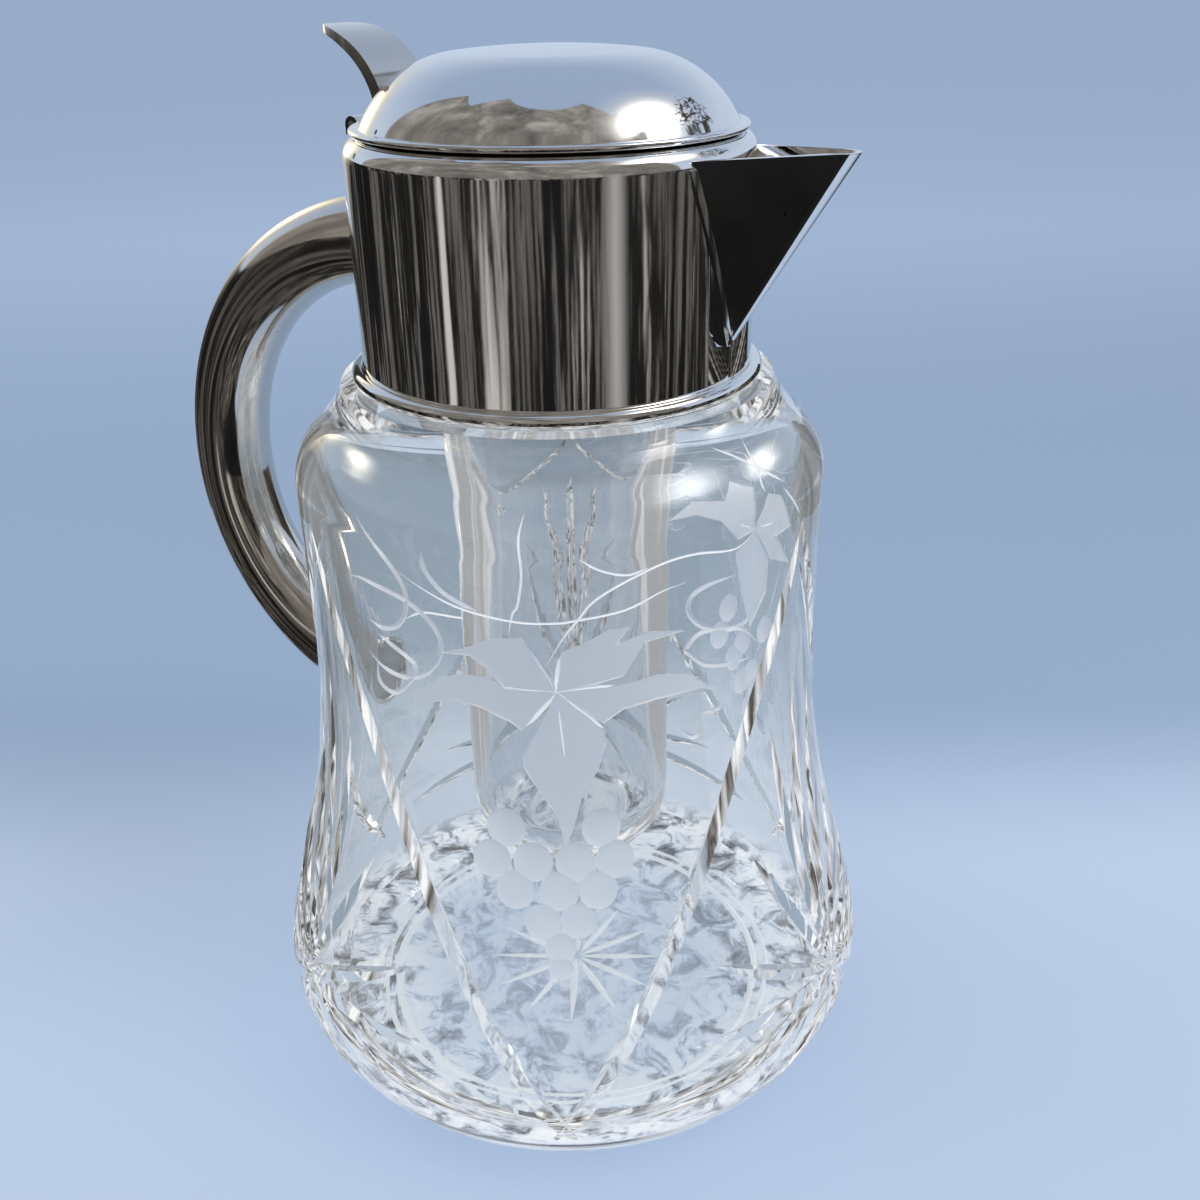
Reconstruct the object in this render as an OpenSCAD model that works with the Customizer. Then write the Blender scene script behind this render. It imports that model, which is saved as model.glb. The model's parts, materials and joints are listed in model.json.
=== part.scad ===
// Lidded glass jug for cold drinks, with a plated mount and a glass ice tube.
// Millimetres, +Z up. The origin is where the axis of the body meets the surface it
// stands on, the pouring lip points to +X and the handle to -X.

/* [Glass body] */
// Radius of the belly, the widest part of the glass
belly_r = 82; // [78:0.5:88]
// Height of the widest part
belly_z = 28; // [24:0.5:34]
// Radius of the curve under the belly
foot_arc = 30; // [28:0.5:32]
// Radius of the curve over the belly
belly_arc = 28; // [22:0.5:34]
// Lean of the wall above the belly, from upright
wall_lean = 14.4; // [12.5:0.1:17]
// Radius of the waist
waist_r = 64.6; // [61:0.1:68]
// Radius of the hollow curve down to the waist
waist_arc = 240; // [150:5:260]
// Height of the ledge that the metal mount stands on
ledge_z = 189.5; // [180:0.5:205]
// Radius of the shoulder curve
shoulder_arc = 16; // [12:0.5:18]
// Radius of the hollow curve between shoulder and ledge
neck_arc = 25; // [20:0.5:27]
// Angle of the steepest part of the shoulder, from upright
shoulder_turn = 50; // [42:1:52]
// Angle at which the shoulder ends, from upright
ledge_turn = 20; // [12:1:26]
// Thickness of the wall
glass_wall = 5; // [4:0.1:6]
// Thickness of the floor
glass_floor = 11; // [8:0.5:13]
// Height of the neck that stands inside the mount
neck_h = 16.5; // [12:0.5:18]
// Thickness of the neck
neck_wall = 4.5; // [3.5:0.1:5.5]
// How far below the ledge the inner wall of the neck starts
neck_foot_drop = 1; // [0:0.1:2]

/* [Cutting] */
// Number of Vs in the mitre-cut zigzag
v_count = 3; // [2:1:4]
// Width of the zigzag's cuts
mitre_w = 4.4; // [3:0.1:5]
// Height of the foot of each V
v_foot_z = 24; // [20:0.5:30]
// How far the points of the zigzag stay below the shoulder curve
v_top_drop = 4.5; // [2:0.5:12]
// Width of the cuts of the fans between the Vs
olive_w = 4.2; // [3:0.1:4.6]
// Height of the middle of each fan
fan_z = 38; // [34:0.5:44]

/* [Mount] */
// Outer radius of the band round the neck
collar_r = 46; // [44:0.1:48]
// Height of the band
collar_h = 49.8; // [46:0.1:56]
// Thickness of the band
collar_wall = 1.2; // [0.9:0.1:1.4]
// Thickness of the plaster between neck and band
plaster_t = 1; // [0.6:0.1:1.6]
// How far the plaster stops below the top of the neck
plaster_drop = 1.5; // [0.5:0.1:3]
// Radius of the wire round the foot of the band
foot_wire = 1.9; // [1.4:0.1:2.2]
// How much of that wire's radius lies inside the face of the band
foot_wire_sink = 1.1; // [0.8:0.1:1.3]
// Rounding of the ring that closes the top of the band
rim_round = 4.2; // [3:0.1:5]
// Width of the flat seat on that ring
rim_seat = 3; // [2:0.1:4]
// How deep that ring reaches down inside the band
rim_depth = 3; // [2:0.1:4]

/* [Pouring lip] */
// Reach of the lip beyond the face of the band
spout_reach = 26.5; // [20:0.5:34]
// Half of the angle that the lip takes up on the band
spout_half_angle = 19.4; // [16:0.1:22]
// Height of the lip, from its point to its top edge
spout_h = 39.7; // [34:0.1:40]
// How far the top edge of the lip lies above the top of the band
spout_rise = 1.6; // [0.5:0.1:2.5]
// How far the point of the lip lies above the ends of its top edge
spout_tip_lift = 1.5; // [0.5:0.1:2.5]
// Radius of the rounded keel, at the top
keel_r = 4.2; // [3:0.1:5]
// Radius of the rounded keel, at the bottom
keel_foot_r = 1.4; // [1.3:0.1:2]
// Thickness of the lip
spout_wall = 1.1; // [0.8:0.1:1.3]
// Width of the solder flange along the lip
spout_flange_w = 1.5; // [1:0.1:2]
// Thickness of the solder flange
spout_flange_t = 0.6; // [0.4:0.1:0.8]
// Height of the pouring hole, above the top of the neck
pour_hole_up = 2; // [1:0.1:4]
// How far the edge of the pouring hole lies inside the lip
pour_hole_margin = 2.4; // [1.8:0.1:3]
// Height of the pouring hole's top edge, below the seat ring
pour_hole_down = 1; // [0.5:0.1:3]

/* [Handle] */
// Outer radius of the handle's tube
handle_r = 10.7; // [9.5:0.1:12]
// Thickness of the tube
handle_wall = 1.2; // [0.9:0.1:1.6]
// Distance of the tube's middle from the jug's axis, where the handle stands out most
handle_out = 117.9; // [108:0.1:126]
// Height of that place
handle_mid_z = 145.1; // [138:0.1:150]
// Radius of the upper bend
handle_bend_top = 70.7; // [64:0.1:74]
// Radius of the lower bend
handle_bend_low = 59; // [54:0.1:62]
// Gap between the handle's lower end and the widest glass in front of it
handle_gap = 1; // [0.6:0.1:2]
// Thickness of the plate that closes the lower end
end_plate_t = 1; // [0.8:0.1:2]
// How far that plate is set in
end_plate_inset = 1.2; // [0.6:0.1:2.5]

/* [Lid] */
// How far the lid's rim stays inside the face of the band
lid_setback = 1.8; // [1:0.1:2.6]
// Thickness of the lid's rim
lid_rim_t = 1.4; // [1:0.1:2]
// Width of the rim outside the dome
lid_ledge = 2.2; // [1.6:0.1:3]
// Length of the straight slope at the foot of the dome
dome_slope_l = 1.6; // [1:0.1:3]
// Slope there, from level
dome_slope = 60; // [54:1:66]
// Radius of the dome's rounded shoulder
dome_round = 26.5; // [22:0.5:30]
// Slope at which the shoulder meets the flat crown
dome_crown_slope = 6.4; // [4:0.1:9]
// Thickness of the dome
dome_wall = 1.2; // [0.9:0.1:1.6]
// Thickness of the ring that fits inside the mount
plug_wall = 1.2; // [0.9:0.1:1.4]
// How deep that ring goes into the mount
plug_depth = 3.5; // [2.5:0.1:4]
// Gap between the closed lid and its seat
lid_gap = 0.3; // [0.3:0.05:0.6]
// Radial gap round the ring that fits inside the mount
plug_gap = 0.4; // [0.35:0.05:0.6]

/* [Thumb-piece] */
// Radius of the curl, on its upper face
thumb_curl = 21; // [18:0.5:23]
// How far the middle of the curl lies behind the dome's foot
thumb_out = 18.5; // [16.5:0.5:20]
// How far the middle of the curl lies below the top of the lid's rim
thumb_sink = 1.7; // [0:0.1:3]
// Width of the tongue
thumb_w = 17.5; // [14:0.5:20]
// Thickness at the tip
thumb_t = 1.6; // [1.2:0.1:2.2]
// Extra thickness at the root
thumb_root_extra = 1.4; // [0.5:0.1:2]
// Length of the rounded end
thumb_round = 12; // [9:0.5:14]

/* [Hinge] */
// Outer radius of the knuckles
knuckle_r = 1.9; // [1.6:0.1:2.2]
// Radius of the pin
pin_r = 0.9; // [0.6:0.05:1]
// Clearance of the pin in the lid's knuckle
pin_gap = 0.05; // [0.03:0.01:0.08]
// Length of the whole hinge
hinge_w = 23; // [20:0.5:26]
// Length of the lid's knuckle
lid_knuckle_w = 7.8; // [6:0.1:9]
// Gap between neighbouring knuckles
knuckle_gap = 0.3; // [0.2:0.05:0.5]
// How far the hinge's axis lies behind the face of the band
hinge_out = 2; // [1.9:0.1:2.4]
// Height of the bearer plate under the hinge
bearer_h = 8; // [6:0.5:10]
// Thickness of the bearer plate
bearer_t = 1.2; // [0.8:0.1:1.6]
// Thickness of the strap that joins the lid to its knuckle
strap_t = 1.2; // [1:0.1:1.5]
// How far the strap reaches in over the lid's rim
strap_lap = 1.2; // [0.8:0.1:1.4]

/* [Ice tube] */
// Outer radius of the ice tube
tube_r = 27; // [24:0.5:28]
// Thickness of its wall
tube_wall = 2.4; // [1.8:0.1:3]
// Height of its lowest point
tube_bottom_z = 56; // [45:1:80]
// Rounding at its lower end
tube_round = 16; // [10:0.5:20]
// Thickness of its bottom
tube_floor = 4; // [3:0.5:6]
// Thickness of the seat ring inside the band
seat_t = 1.2; // [0.9:0.1:1.6]
// How far the seat ring lies below the top of the band
seat_drop = 5.6; // [4.5:0.1:7]
// How much of the tube's flange rests on the seat ring
seat_lap = 2.5; // [2:0.1:4]
// How far the glass stands above the flange
tube_lip = 0.8; // [0.3:0.1:2]
// Gap between the flange and its seat
seat_gap = 0.3; // [0.3:0.05:0.5]
// Thickness of the tube's metal ring and flange
ring_t = 1.2; // [0.9:0.1:1.5]
// Height of the metal ring on the tube
ring_h = 9; // [6:0.5:12]
// Radial gap between the flange and the lid's inner ring
flange_gap = 1.4; // [1.2:0.1:1.8]

/* [Hidden] */

ROUND_FN = 180;
SMALL_FN = 48;
HULL_FN = 32;
STEP = 4;                 // degrees between the points of an arc
FAR = 400;                // longer than the jug is tall
CUT = 1;                  // how far a cutting solid runs past what it cuts
EDGE = 0.1;               // thickness of the slices that a hull is stretched between
KEEL_FOOT_SHARE = 0.75;   // how much of the wall is taken off the keel's foot inside
HANDLE_TOP = 102;         // angle up to which the upper bend runs, inside the band
HANDLE_LOW = 86;          // angle down to which the lower bend runs, past where it is cut off
THUMB_TIP = 94;           // angle of the curl at which the tongue ends

// cuts: the direction of the front V's foot round the axis, how deep a cut is for its width, how
// far a cutter stands out of the glass, how much a V's legs bow, and the room round a fan's middle
V_FRONT = -58.8;
V_DEPTH = 0.42;
CUT_PROUD = 0.6;
V_BOW = 0.11;
FAN_HOLLOW = 5;
// tips of the cuts of one half of a fan: the share of half a V's width, and the share of the
// zigzag's height above its foot
FAN_TIPS = [[0, 0.74], [1/6, 0.65], [0.31, 0.43], [0.52, 0.27], [0.62, 0.13], [0.8, 0], [1/3, -0.09],
            [0, -0.12]];

silver = [0.80, 0.80, 0.82];
dull_silver = [0.62, 0.62, 0.65];
clear_glass = [0.82, 0.90, 0.95, 0.35];
plaster_white = [0.93, 0.92, 0.88];

// heights and radii that several pieces share
band_in = collar_r - collar_wall;
neck_r = band_in - plaster_t;
neck_in = neck_r - neck_wall;
band_top = ledge_z + collar_h;
seat_z = band_top + rim_round;
rim_in = collar_r - rim_round - rim_seat;
spout_top = band_top + spout_rise;
spout_foot_z = spout_top - spout_h;
rim_z = seat_z + lid_gap;
dome_z = rim_z + lid_rim_t;
lid_r = collar_r - lid_setback;
dome_r = lid_r - lid_ledge;
plug_r = rim_in - plug_gap;
hinge_x = -(collar_r + hinge_out);
hinge_z = seat_z;
ice_seat_z = band_top - seat_drop;
flange_r = plug_r - plug_wall - flange_gap;
flange_z = ice_seat_z + seat_gap;
brim = 0.8;               // rounding of the glass neck's edge
spout_corner_x = collar_r * cos(spout_half_angle);
spout_corner_y = collar_r * sin(spout_half_angle);
bearer_top = hinge_z - knuckle_r - knuckle_gap;
thumb_x = -(dome_r + thumb_out);
thumb_z = dome_z - thumb_sink;
thumb_end_x = thumb_x + thumb_curl * cos(THUMB_TIP);
tube_top = flange_z + ring_t + tube_lip;
handle_end_x = waist_side(handle_mid_z - handle_bend_low - handle_r) + handle_gap;

// points of an arc in the plane of a profile; angles are measured from +X
function arc(cx, cz, r, a0, a1) =
    let (n = max(2, ceil(abs(a1 - a0) / STEP)))
    [for (i = [0:n]) let (a = a0 + (a1 - a0) * i / n) [cx + r * cos(a), cz + r * sin(a)]];

// wall of the glass from the standing edge to the end of the shoulder's curve, moved in by t
function foot_angle(t, z) = asin((z - belly_z) / (foot_arc - t));
function lean_length() = (belly_r - belly_arc * (1 - cos(wall_lean)) - waist_r
                          - waist_arc * (1 - cos(wall_lean))) / sin(wall_lean);
function waist_z() = belly_z + belly_arc * sin(wall_lean) + lean_length() * cos(wall_lean)
                     + waist_arc * sin(wall_lean);
// outer radius of the glass at a height in the hollow under the waist
function waist_side(z) = waist_r + waist_arc - sqrt(pow(waist_arc, 2) - pow(waist_z() - z, 2));
function shoulder_z() = ledge_z - neck_arc * (sin(shoulder_turn) - sin(ledge_turn))
                        - shoulder_arc * sin(shoulder_turn);
function ledge_r() = waist_r - shoulder_arc * (1 - cos(shoulder_turn))
                     - neck_arc * (cos(ledge_turn) - cos(shoulder_turn));
function glass_side(t, z0) = concat(
    arc(belly_r - foot_arc, belly_z, foot_arc - t, foot_angle(t, z0), 0),
    arc(belly_r - belly_arc, belly_z, belly_arc - t, STEP, wall_lean),
    arc(waist_r + waist_arc, waist_z(), waist_arc + t, 180 + wall_lean, 180),
    arc(waist_r - shoulder_arc, shoulder_z(), shoulder_arc - t, 0, shoulder_turn));

// outer radius of the glass at any height up to the shoulder
function glass_r(z) =
    let (belly_top = belly_z + belly_arc * sin(wall_lean),
         hollow_z = waist_z() - waist_arc * sin(wall_lean))
    z < belly_z ? belly_r - foot_arc + sqrt(pow(foot_arc, 2) - pow(belly_z - z, 2))
    : z < belly_top ? belly_r - belly_arc + sqrt(pow(belly_arc, 2) - pow(z - belly_z, 2))
    : z < hollow_z ? waist_side(hollow_z) + (hollow_z - z) * tan(wall_lean)
    : z < waist_z() ? waist_side(z)
    : waist_r;

module ring(r_in, r_out, z0, z1) {
    translate([0, 0, z0]) difference() {
        cylinder(r = r_out, h = z1 - z0, $fn = ROUND_FN);
        translate([0, 0, -CUT]) cylinder(r = r_in, h = z1 - z0 + 2 * CUT, $fn = ROUND_FN);
    }
}

module turned(points) {
    rotate_extrude($fn = ROUND_FN) polygon(points);
}

// a V-shaped cut along a path of [turn round the axis, height, width] places on the glass
module mitre_cut(path) {
    last = len(path) - 1;
    points = [for (i = [0:last])
        let (turn = path[i][0], z = path[i][1], w = path[i][2],
             a = path[max(i - 1, 0)], b = path[min(i + 1, last)],
             degree = glass_r(z) * PI / 180,
             along = [(b[0] - a[0]) * degree, b[1] - a[1]],
             dir = along / norm(along),
             depth = V_DEPTH * w,
             half = w / 2 * (1 + CUT_PROUD / depth))
        for (corner = [[-half, CUT_PROUD], [0, -depth], [half, CUT_PROUD]])
            let (at_z = z - corner[0] * dir[0],
                 at = turn + corner[0] * dir[1] / degree,
                 r = glass_r(at_z) + corner[1])
            [r * cos(at), r * sin(at), at_z]];
    sides = [for (i = [0:last - 1], j = [0:2])
        let (k = (j + 1) % 3)
        each [[3 * i + j, 3 * i + k, 3 * i + 3 + k], [3 * i + j, 3 * i + 3 + k, 3 * i + 3 + j]]];
    polyhedron(points, concat([[2, 1, 0]], sides, [[3 * last, 3 * last + 1, 3 * last + 2]]));
}

// the six legs of the zigzag
module zigzag() {
    rise = shoulder_z() - v_top_drop - v_foot_z;
    half_turn = 180 / v_count;
    n = 15;
    for (v = [0:v_count - 1], side = [-1, 1])
        mitre_cut([for (i = [0:n])
            let (s = i == 0 ? -0.03 : (i - 0.5) / (n - 0.5))
            [V_FRONT + 2 * half_turn * v + side * half_turn * s,
             v_foot_z + rise * ((1 - V_BOW) * s + V_BOW * s * s),
             mitre_w * min(1, (i + 0.3) / 1.3, (n - i + 0.3) / 1.3)]]);
}

// the fans of cuts between the Vs, each cut swollen in the middle and pointed at its ends
module fans() {
    rise = shoulder_z() - v_top_drop - v_foot_z;
    half_turn = 180 / v_count;
    degree = glass_r(fan_z) * PI / 180;
    for (v = [0:v_count - 1], side = [-1, 1], tip = FAN_TIPS) if (side > 0 || tip[0] > 0) {
        turn = side * half_turn * tip[0];
        z = v_foot_z + rise * tip[1] - fan_z;
        far = norm([turn * degree, z]);
        start = FAN_HOLLOW / far;
        n = ceil(far / 9) + 2;
        mitre_cut([for (i = [0:n])
            let (s = start + (1 - start) * i / n)
            [V_FRONT + half_turn * (2 * v + 1) + turn * s, fan_z + z * s,
             0.2 + olive_w * (i == 0 || i == n ? 0 : pow(sin(180 * pow(i / n, 0.8)), 0.8))]]);
    }
}

module glass_body() {
    neck_top = ledge_z + neck_h;
    color(clear_glass) difference() {
        turned(concat([[0, 0]], glass_side(0, 0),
                      arc(ledge_r() + neck_arc * cos(ledge_turn), ledge_z + neck_arc * sin(ledge_turn),
                          neck_arc, 180 + shoulder_turn - CUT, 180 + ledge_turn),
                      [[neck_r, ledge_z]],
                      arc(neck_r - brim, neck_top - brim, brim, 0, 90),
                      [[0, neck_top]]));
        turned(concat([[0, glass_floor]], glass_side(glass_wall, glass_floor),
                      [[neck_in, ledge_z - neck_foot_drop], [neck_in, neck_top + CUT],
                       [0, neck_top + CUT]]));
        zigzag();
        fans();
    }
}

module plaster_bed() {
    color(plaster_white) ring(neck_r, band_in, ledge_z, ledge_z + neck_h - plaster_drop);
}

// opening in the band behind the lip: a triangle with its foot cut level
module pour_hole() {
    z0 = ledge_z + neck_h + pour_hole_up;
    z1 = ice_seat_z - seat_t - pour_hole_down;
    grow = spout_corner_y / spout_h;
    apex_z = spout_foot_z + pour_hole_margin / grow;
    intersection() {
        rotate([90, 0, 90]) linear_extrude(FAR)
            polygon([[0, apex_z], [grow * (z1 - apex_z), z1], [-grow * (z1 - apex_z), z1]]);
        translate([0, -FAR / 2, z0]) cube([FAR, FAR, FAR]);
    }
}

module collar_band() {
    color(silver) difference() {
        ring(band_in, collar_r, ledge_z, band_top);
        pour_hole();
    }
}

module collar_foot_ring() {
    color(silver) rotate_extrude($fn = ROUND_FN) difference() {
        translate([collar_r + foot_wire - foot_wire_sink, ledge_z + foot_wire])
            circle(r = foot_wire, $fn = SMALL_FN);
        translate([0, ledge_z - CUT]) square([collar_r, 2 * foot_wire + 2 * CUT]);
    }
}

module rim_form() {
    turned(concat([[rim_in, band_top - rim_depth], [band_in, band_top - rim_depth],
                   [band_in, band_top]],
                  arc(collar_r - rim_round, band_top, rim_round, 0, 90),
                  [[rim_in, seat_z]]));
}

module collar_rim() {
    color(silver) rim_form();
}

module ice_tube_seat() {
    color(dull_silver) ring(flange_r - seat_lap, band_in, ice_seat_z - seat_t, ice_seat_z);
}

// the lip's outer form, shrunk by t and carried on above its top edge by over
module spout_form(t, over) {
    hull() {
        translate([collar_r - keel_foot_r, 0, spout_foot_z])
            cylinder(r = keel_foot_r - t * KEEL_FOOT_SHARE, h = EDGE, $fn = HULL_FN);
        translate([collar_r + spout_reach - keel_r, 0, spout_top + spout_tip_lift - EDGE])
            cylinder(r = keel_r - t, h = EDGE + over, $fn = HULL_FN);
        for (side = [-1, 1])
            translate([spout_corner_x - EDGE, side * (spout_corner_y - t) - EDGE / 2, spout_top - EDGE])
                cube([EDGE, EDGE, EDGE + over]);
    }
}

module spout() {
    color(silver) difference() {
        union() {
            spout_form(0, 0);
            intersection() {
                spout_form(-spout_flange_w, 0);
                ring(collar_r, collar_r + spout_flange_t, spout_foot_z - CUT, band_top);
            }
        }
        spout_form(spout_wall, CUT);
        cylinder(r = collar_r, h = band_top, $fn = ROUND_FN);
        translate([0, 0, band_top - CUT]) cylinder(r = collar_r, h = spout_rise + 2 * CUT, $fn = ROUND_FN);
    }
}

// a stretch of round tube bent in the jug's middle plane, its angles measured from level
module bend(r, bend_r, from, to) {
    mirror([1, 0, 0]) translate([handle_out - bend_r, 0, handle_mid_z]) rotate([90, 0, 0])
        rotate_extrude(angle = to - from, start = from, $fn = ROUND_FN)
            translate([bend_r, 0]) circle(r = r, $fn = SMALL_FN);
}

// the space between two upright planes that lie across the handle, at x0 and x1 behind the axis
module behind_axis(x0, x1) {
    translate([-x1, -FAR / 2, 0]) cube([x1 - x0, FAR, FAR]);
}

module handle() {
    color(silver) difference() {
        union() {
            bend(handle_r, handle_bend_top, 0, HANDLE_TOP);
            bend(handle_r, handle_bend_low, -HANDLE_LOW, 0);
        }
        bend(handle_r - handle_wall, handle_bend_top, 0, HANDLE_TOP);
        bend(handle_r - handle_wall, handle_bend_low, -HANDLE_LOW, 0);
        translate([0, 0, ledge_z]) cylinder(r = collar_r, h = FAR, $fn = ROUND_FN);
        translate([0, 0, ledge_z - FAR]) behind_axis(0, handle_end_x);
    }
}

module handle_end_plate() {
    color(dull_silver) intersection() {
        bend(handle_r - handle_wall, handle_bend_low, -HANDLE_LOW, 0);
        behind_axis(handle_end_x + end_plate_inset, handle_end_x + end_plate_inset + end_plate_t);
    }
}

// a rod along the hinge's axis, between two places measured from the jug's middle plane
module hinge_rod(r, y0, y1) {
    translate([hinge_x, y1, hinge_z]) rotate([90, 0, 0]) cylinder(r = r, h = y1 - y0, $fn = SMALL_FN);
}

module hinge_bearer() {
    color(silver) intersection() {
        ring(collar_r, collar_r + bearer_t, bearer_top - bearer_h, bearer_top);
        translate([-FAR, -hinge_w / 2, 0]) cube([FAR, hinge_w, FAR]);
    }
}

module hinge_collar_knuckles() {
    inner = lid_knuckle_w / 2 + knuckle_gap;
    color(silver) for (side = [0, 1]) mirror([0, side, 0]) difference() {
        union() {
            hinge_rod(knuckle_r, inner, hinge_w / 2);
            translate([hinge_x - knuckle_r, inner, bearer_top])
                cube([knuckle_r + hinge_out + bearer_t, hinge_w / 2 - inner, hinge_z - bearer_top]);
        }
        hinge_rod(pin_r, -CUT, hinge_w);
        rim_form();
    }
}

module hinge_pin() {
    color(dull_silver) hinge_rod(pin_r, -hinge_w / 2, hinge_w / 2);
}

// section of the dome, moved in by t, from its foot to the middle of the crown
function dome_side(t) =
    let (sx = dome_r - dome_slope_l * cos(dome_slope),
         sz = dome_z + dome_slope_l * sin(dome_slope),
         cx = sx - dome_round * sin(dome_slope),
         cz = sz - dome_round * cos(dome_slope),
         ex = cx + dome_round * sin(dome_crown_slope),
         ez = cz + dome_round * cos(dome_crown_slope),
         crown = ex / sin(dome_crown_slope))
    concat([[dome_r - t / sin(dome_slope), dome_z]],
           arc(cx, cz, dome_round - t, 90 - dome_slope, 90 - dome_crown_slope),
           arc(0, ez - crown * cos(dome_crown_slope), crown - t, 90 - dome_crown_slope + EDGE, 90));

module dome_form(t, drop) {
    turned(concat([[0, dome_z - drop], [dome_r - t / sin(dome_slope), dome_z - drop]], dome_side(t)));
}

module lid_dome() {
    color(silver) difference() {
        dome_form(0, 0);
        dome_form(dome_wall, CUT);
    }
}

module lid_rim() {
    edge = lid_rim_t / 2;
    color(silver) turned(concat([[plug_r, rim_z]], arc(lid_r - edge, rim_z + edge, edge, -90, 90),
                                [[plug_r, dome_z]]));
}

module lid_plug_ring() {
    color(dull_silver) ring(plug_r - plug_wall, plug_r, seat_z - plug_depth, dome_z);
}

// the tongue is a curled strip with a rounded end, thicker where it meets the dome
module thumb_piece() {
    color(silver) difference() {
        intersection() {
            translate([0, thumb_w / 2, 0]) rotate([90, 0, 0]) linear_extrude(thumb_w)
                polygon(concat(arc(thumb_x, thumb_z, thumb_curl, 0, THUMB_TIP),
                               arc(thumb_x - thumb_root_extra, thumb_z, thumb_curl - thumb_t, THUMB_TIP, 0)));
            translate([0, 0, dome_z]) linear_extrude(FAR)
                polygon(concat([[0, -thumb_w / 2], [0, thumb_w / 2]],
                               [for (a = [90:STEP:270])
                                   [thumb_end_x + thumb_round + thumb_round * cos(a), thumb_w / 2 * sin(a)]]));
        }
        dome_form(0, CUT);
    }
}

module hinge_lid_strap() {
    color(silver) difference() {
        translate([hinge_x, -lid_knuckle_w / 2, rim_z])
            cube([-hinge_x - lid_r + strap_lap, lid_knuckle_w, dome_z + strap_t - rim_z]);
        cylinder(r = lid_r, h = dome_z, $fn = ROUND_FN);
        hinge_rod(knuckle_r, -hinge_w / 2, hinge_w / 2);
    }
}

module hinge_lid_knuckle() {
    color(silver) difference() {
        hinge_rod(knuckle_r, -lid_knuckle_w / 2, lid_knuckle_w / 2);
        hinge_rod(pin_r + pin_gap, -hinge_w / 2, hinge_w / 2);
    }
}

module ice_tube() {
    lip = tube_wall / 2;
    lip_z = tube_top - lip;
    round_in = tube_round - tube_wall;
    color(clear_glass) turned(concat(
        [[0, tube_bottom_z]],
        arc(tube_r - tube_round, tube_bottom_z + tube_round, tube_round, -90, 0),
        arc(tube_r - lip, lip_z, lip, 0, 180),
        arc(tube_r - tube_round, tube_bottom_z + tube_floor + round_in, round_in, 0, -90),
        [[0, tube_bottom_z + tube_floor]]));
}

module ice_tube_ring() {
    color(silver) {
        ring(tube_r, tube_r + ring_t, flange_z + ring_t - ring_h, flange_z + ring_t);
        ring(tube_r, flange_r, flange_z, flange_z + ring_t);
    }
}

glass_body();
plaster_bed();
collar_band();
collar_foot_ring();
collar_rim();
ice_tube_seat();
spout();
handle();
handle_end_plate();
hinge_bearer();
hinge_collar_knuckles();
hinge_pin();
lid_dome();
lid_rim();
lid_plug_ring();
thumb_piece();
hinge_lid_strap();
hinge_lid_knuckle();
ice_tube();
ice_tube_ring();
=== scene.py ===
import json
import math

import bmesh
import bpy
from mathutils import Matrix, Quaternion, Vector
from mathutils.bvhtree import BVHTree
from mathutils.geometry import interpolate_bezier

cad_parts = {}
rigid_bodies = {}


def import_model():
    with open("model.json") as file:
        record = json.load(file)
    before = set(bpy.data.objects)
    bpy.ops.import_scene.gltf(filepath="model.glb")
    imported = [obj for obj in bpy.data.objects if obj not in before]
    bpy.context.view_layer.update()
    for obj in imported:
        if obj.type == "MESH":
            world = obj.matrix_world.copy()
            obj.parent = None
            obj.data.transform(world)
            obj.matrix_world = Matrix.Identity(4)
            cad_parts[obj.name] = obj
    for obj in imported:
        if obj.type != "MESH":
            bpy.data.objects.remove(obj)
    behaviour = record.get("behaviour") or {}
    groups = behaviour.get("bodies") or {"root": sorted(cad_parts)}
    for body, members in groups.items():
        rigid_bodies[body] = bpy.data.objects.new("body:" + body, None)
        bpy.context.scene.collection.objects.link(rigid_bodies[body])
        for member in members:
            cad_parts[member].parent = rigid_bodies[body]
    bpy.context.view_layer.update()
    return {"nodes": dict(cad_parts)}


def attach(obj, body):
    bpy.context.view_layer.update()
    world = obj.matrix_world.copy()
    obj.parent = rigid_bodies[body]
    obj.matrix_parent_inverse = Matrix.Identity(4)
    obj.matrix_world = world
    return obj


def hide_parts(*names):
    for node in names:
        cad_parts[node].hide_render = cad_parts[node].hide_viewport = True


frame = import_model()


# ---- Camera -------------------------------------------------------------------------------
# Where the photograph was taken from: in front of the jug, half way between its handle side
# and its lip, looking down on it from 400 mm away.
EYE = (0.1644, -0.2437, 0.2751)
LOOK_HEADING = math.radians(122.21)
LOOK_DOWN = math.radians(26.81)
LOOK_ROLL = math.radians(-0.97)
LENS_MM = 37.5
SENSOR_MM = 36

look = Vector((math.cos(LOOK_HEADING) * math.cos(LOOK_DOWN),
               math.sin(LOOK_HEADING) * math.cos(LOOK_DOWN),
               -math.sin(LOOK_DOWN)))
camera = bpy.data.objects.new("camera", bpy.data.cameras.new("camera"))
camera.data.lens = LENS_MM
camera.data.sensor_width = SENSOR_MM
camera.data.clip_start = 0.01
camera.location = EYE
camera.rotation_mode = "QUATERNION"
camera.rotation_quaternion = look.to_track_quat("-Z", "Y") @ Quaternion((0, 0, 1), LOOK_ROLL)
bpy.context.scene.collection.objects.link(camera)
bpy.context.scene.camera = camera
bpy.context.scene.view_settings.view_transform = "Standard"


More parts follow.
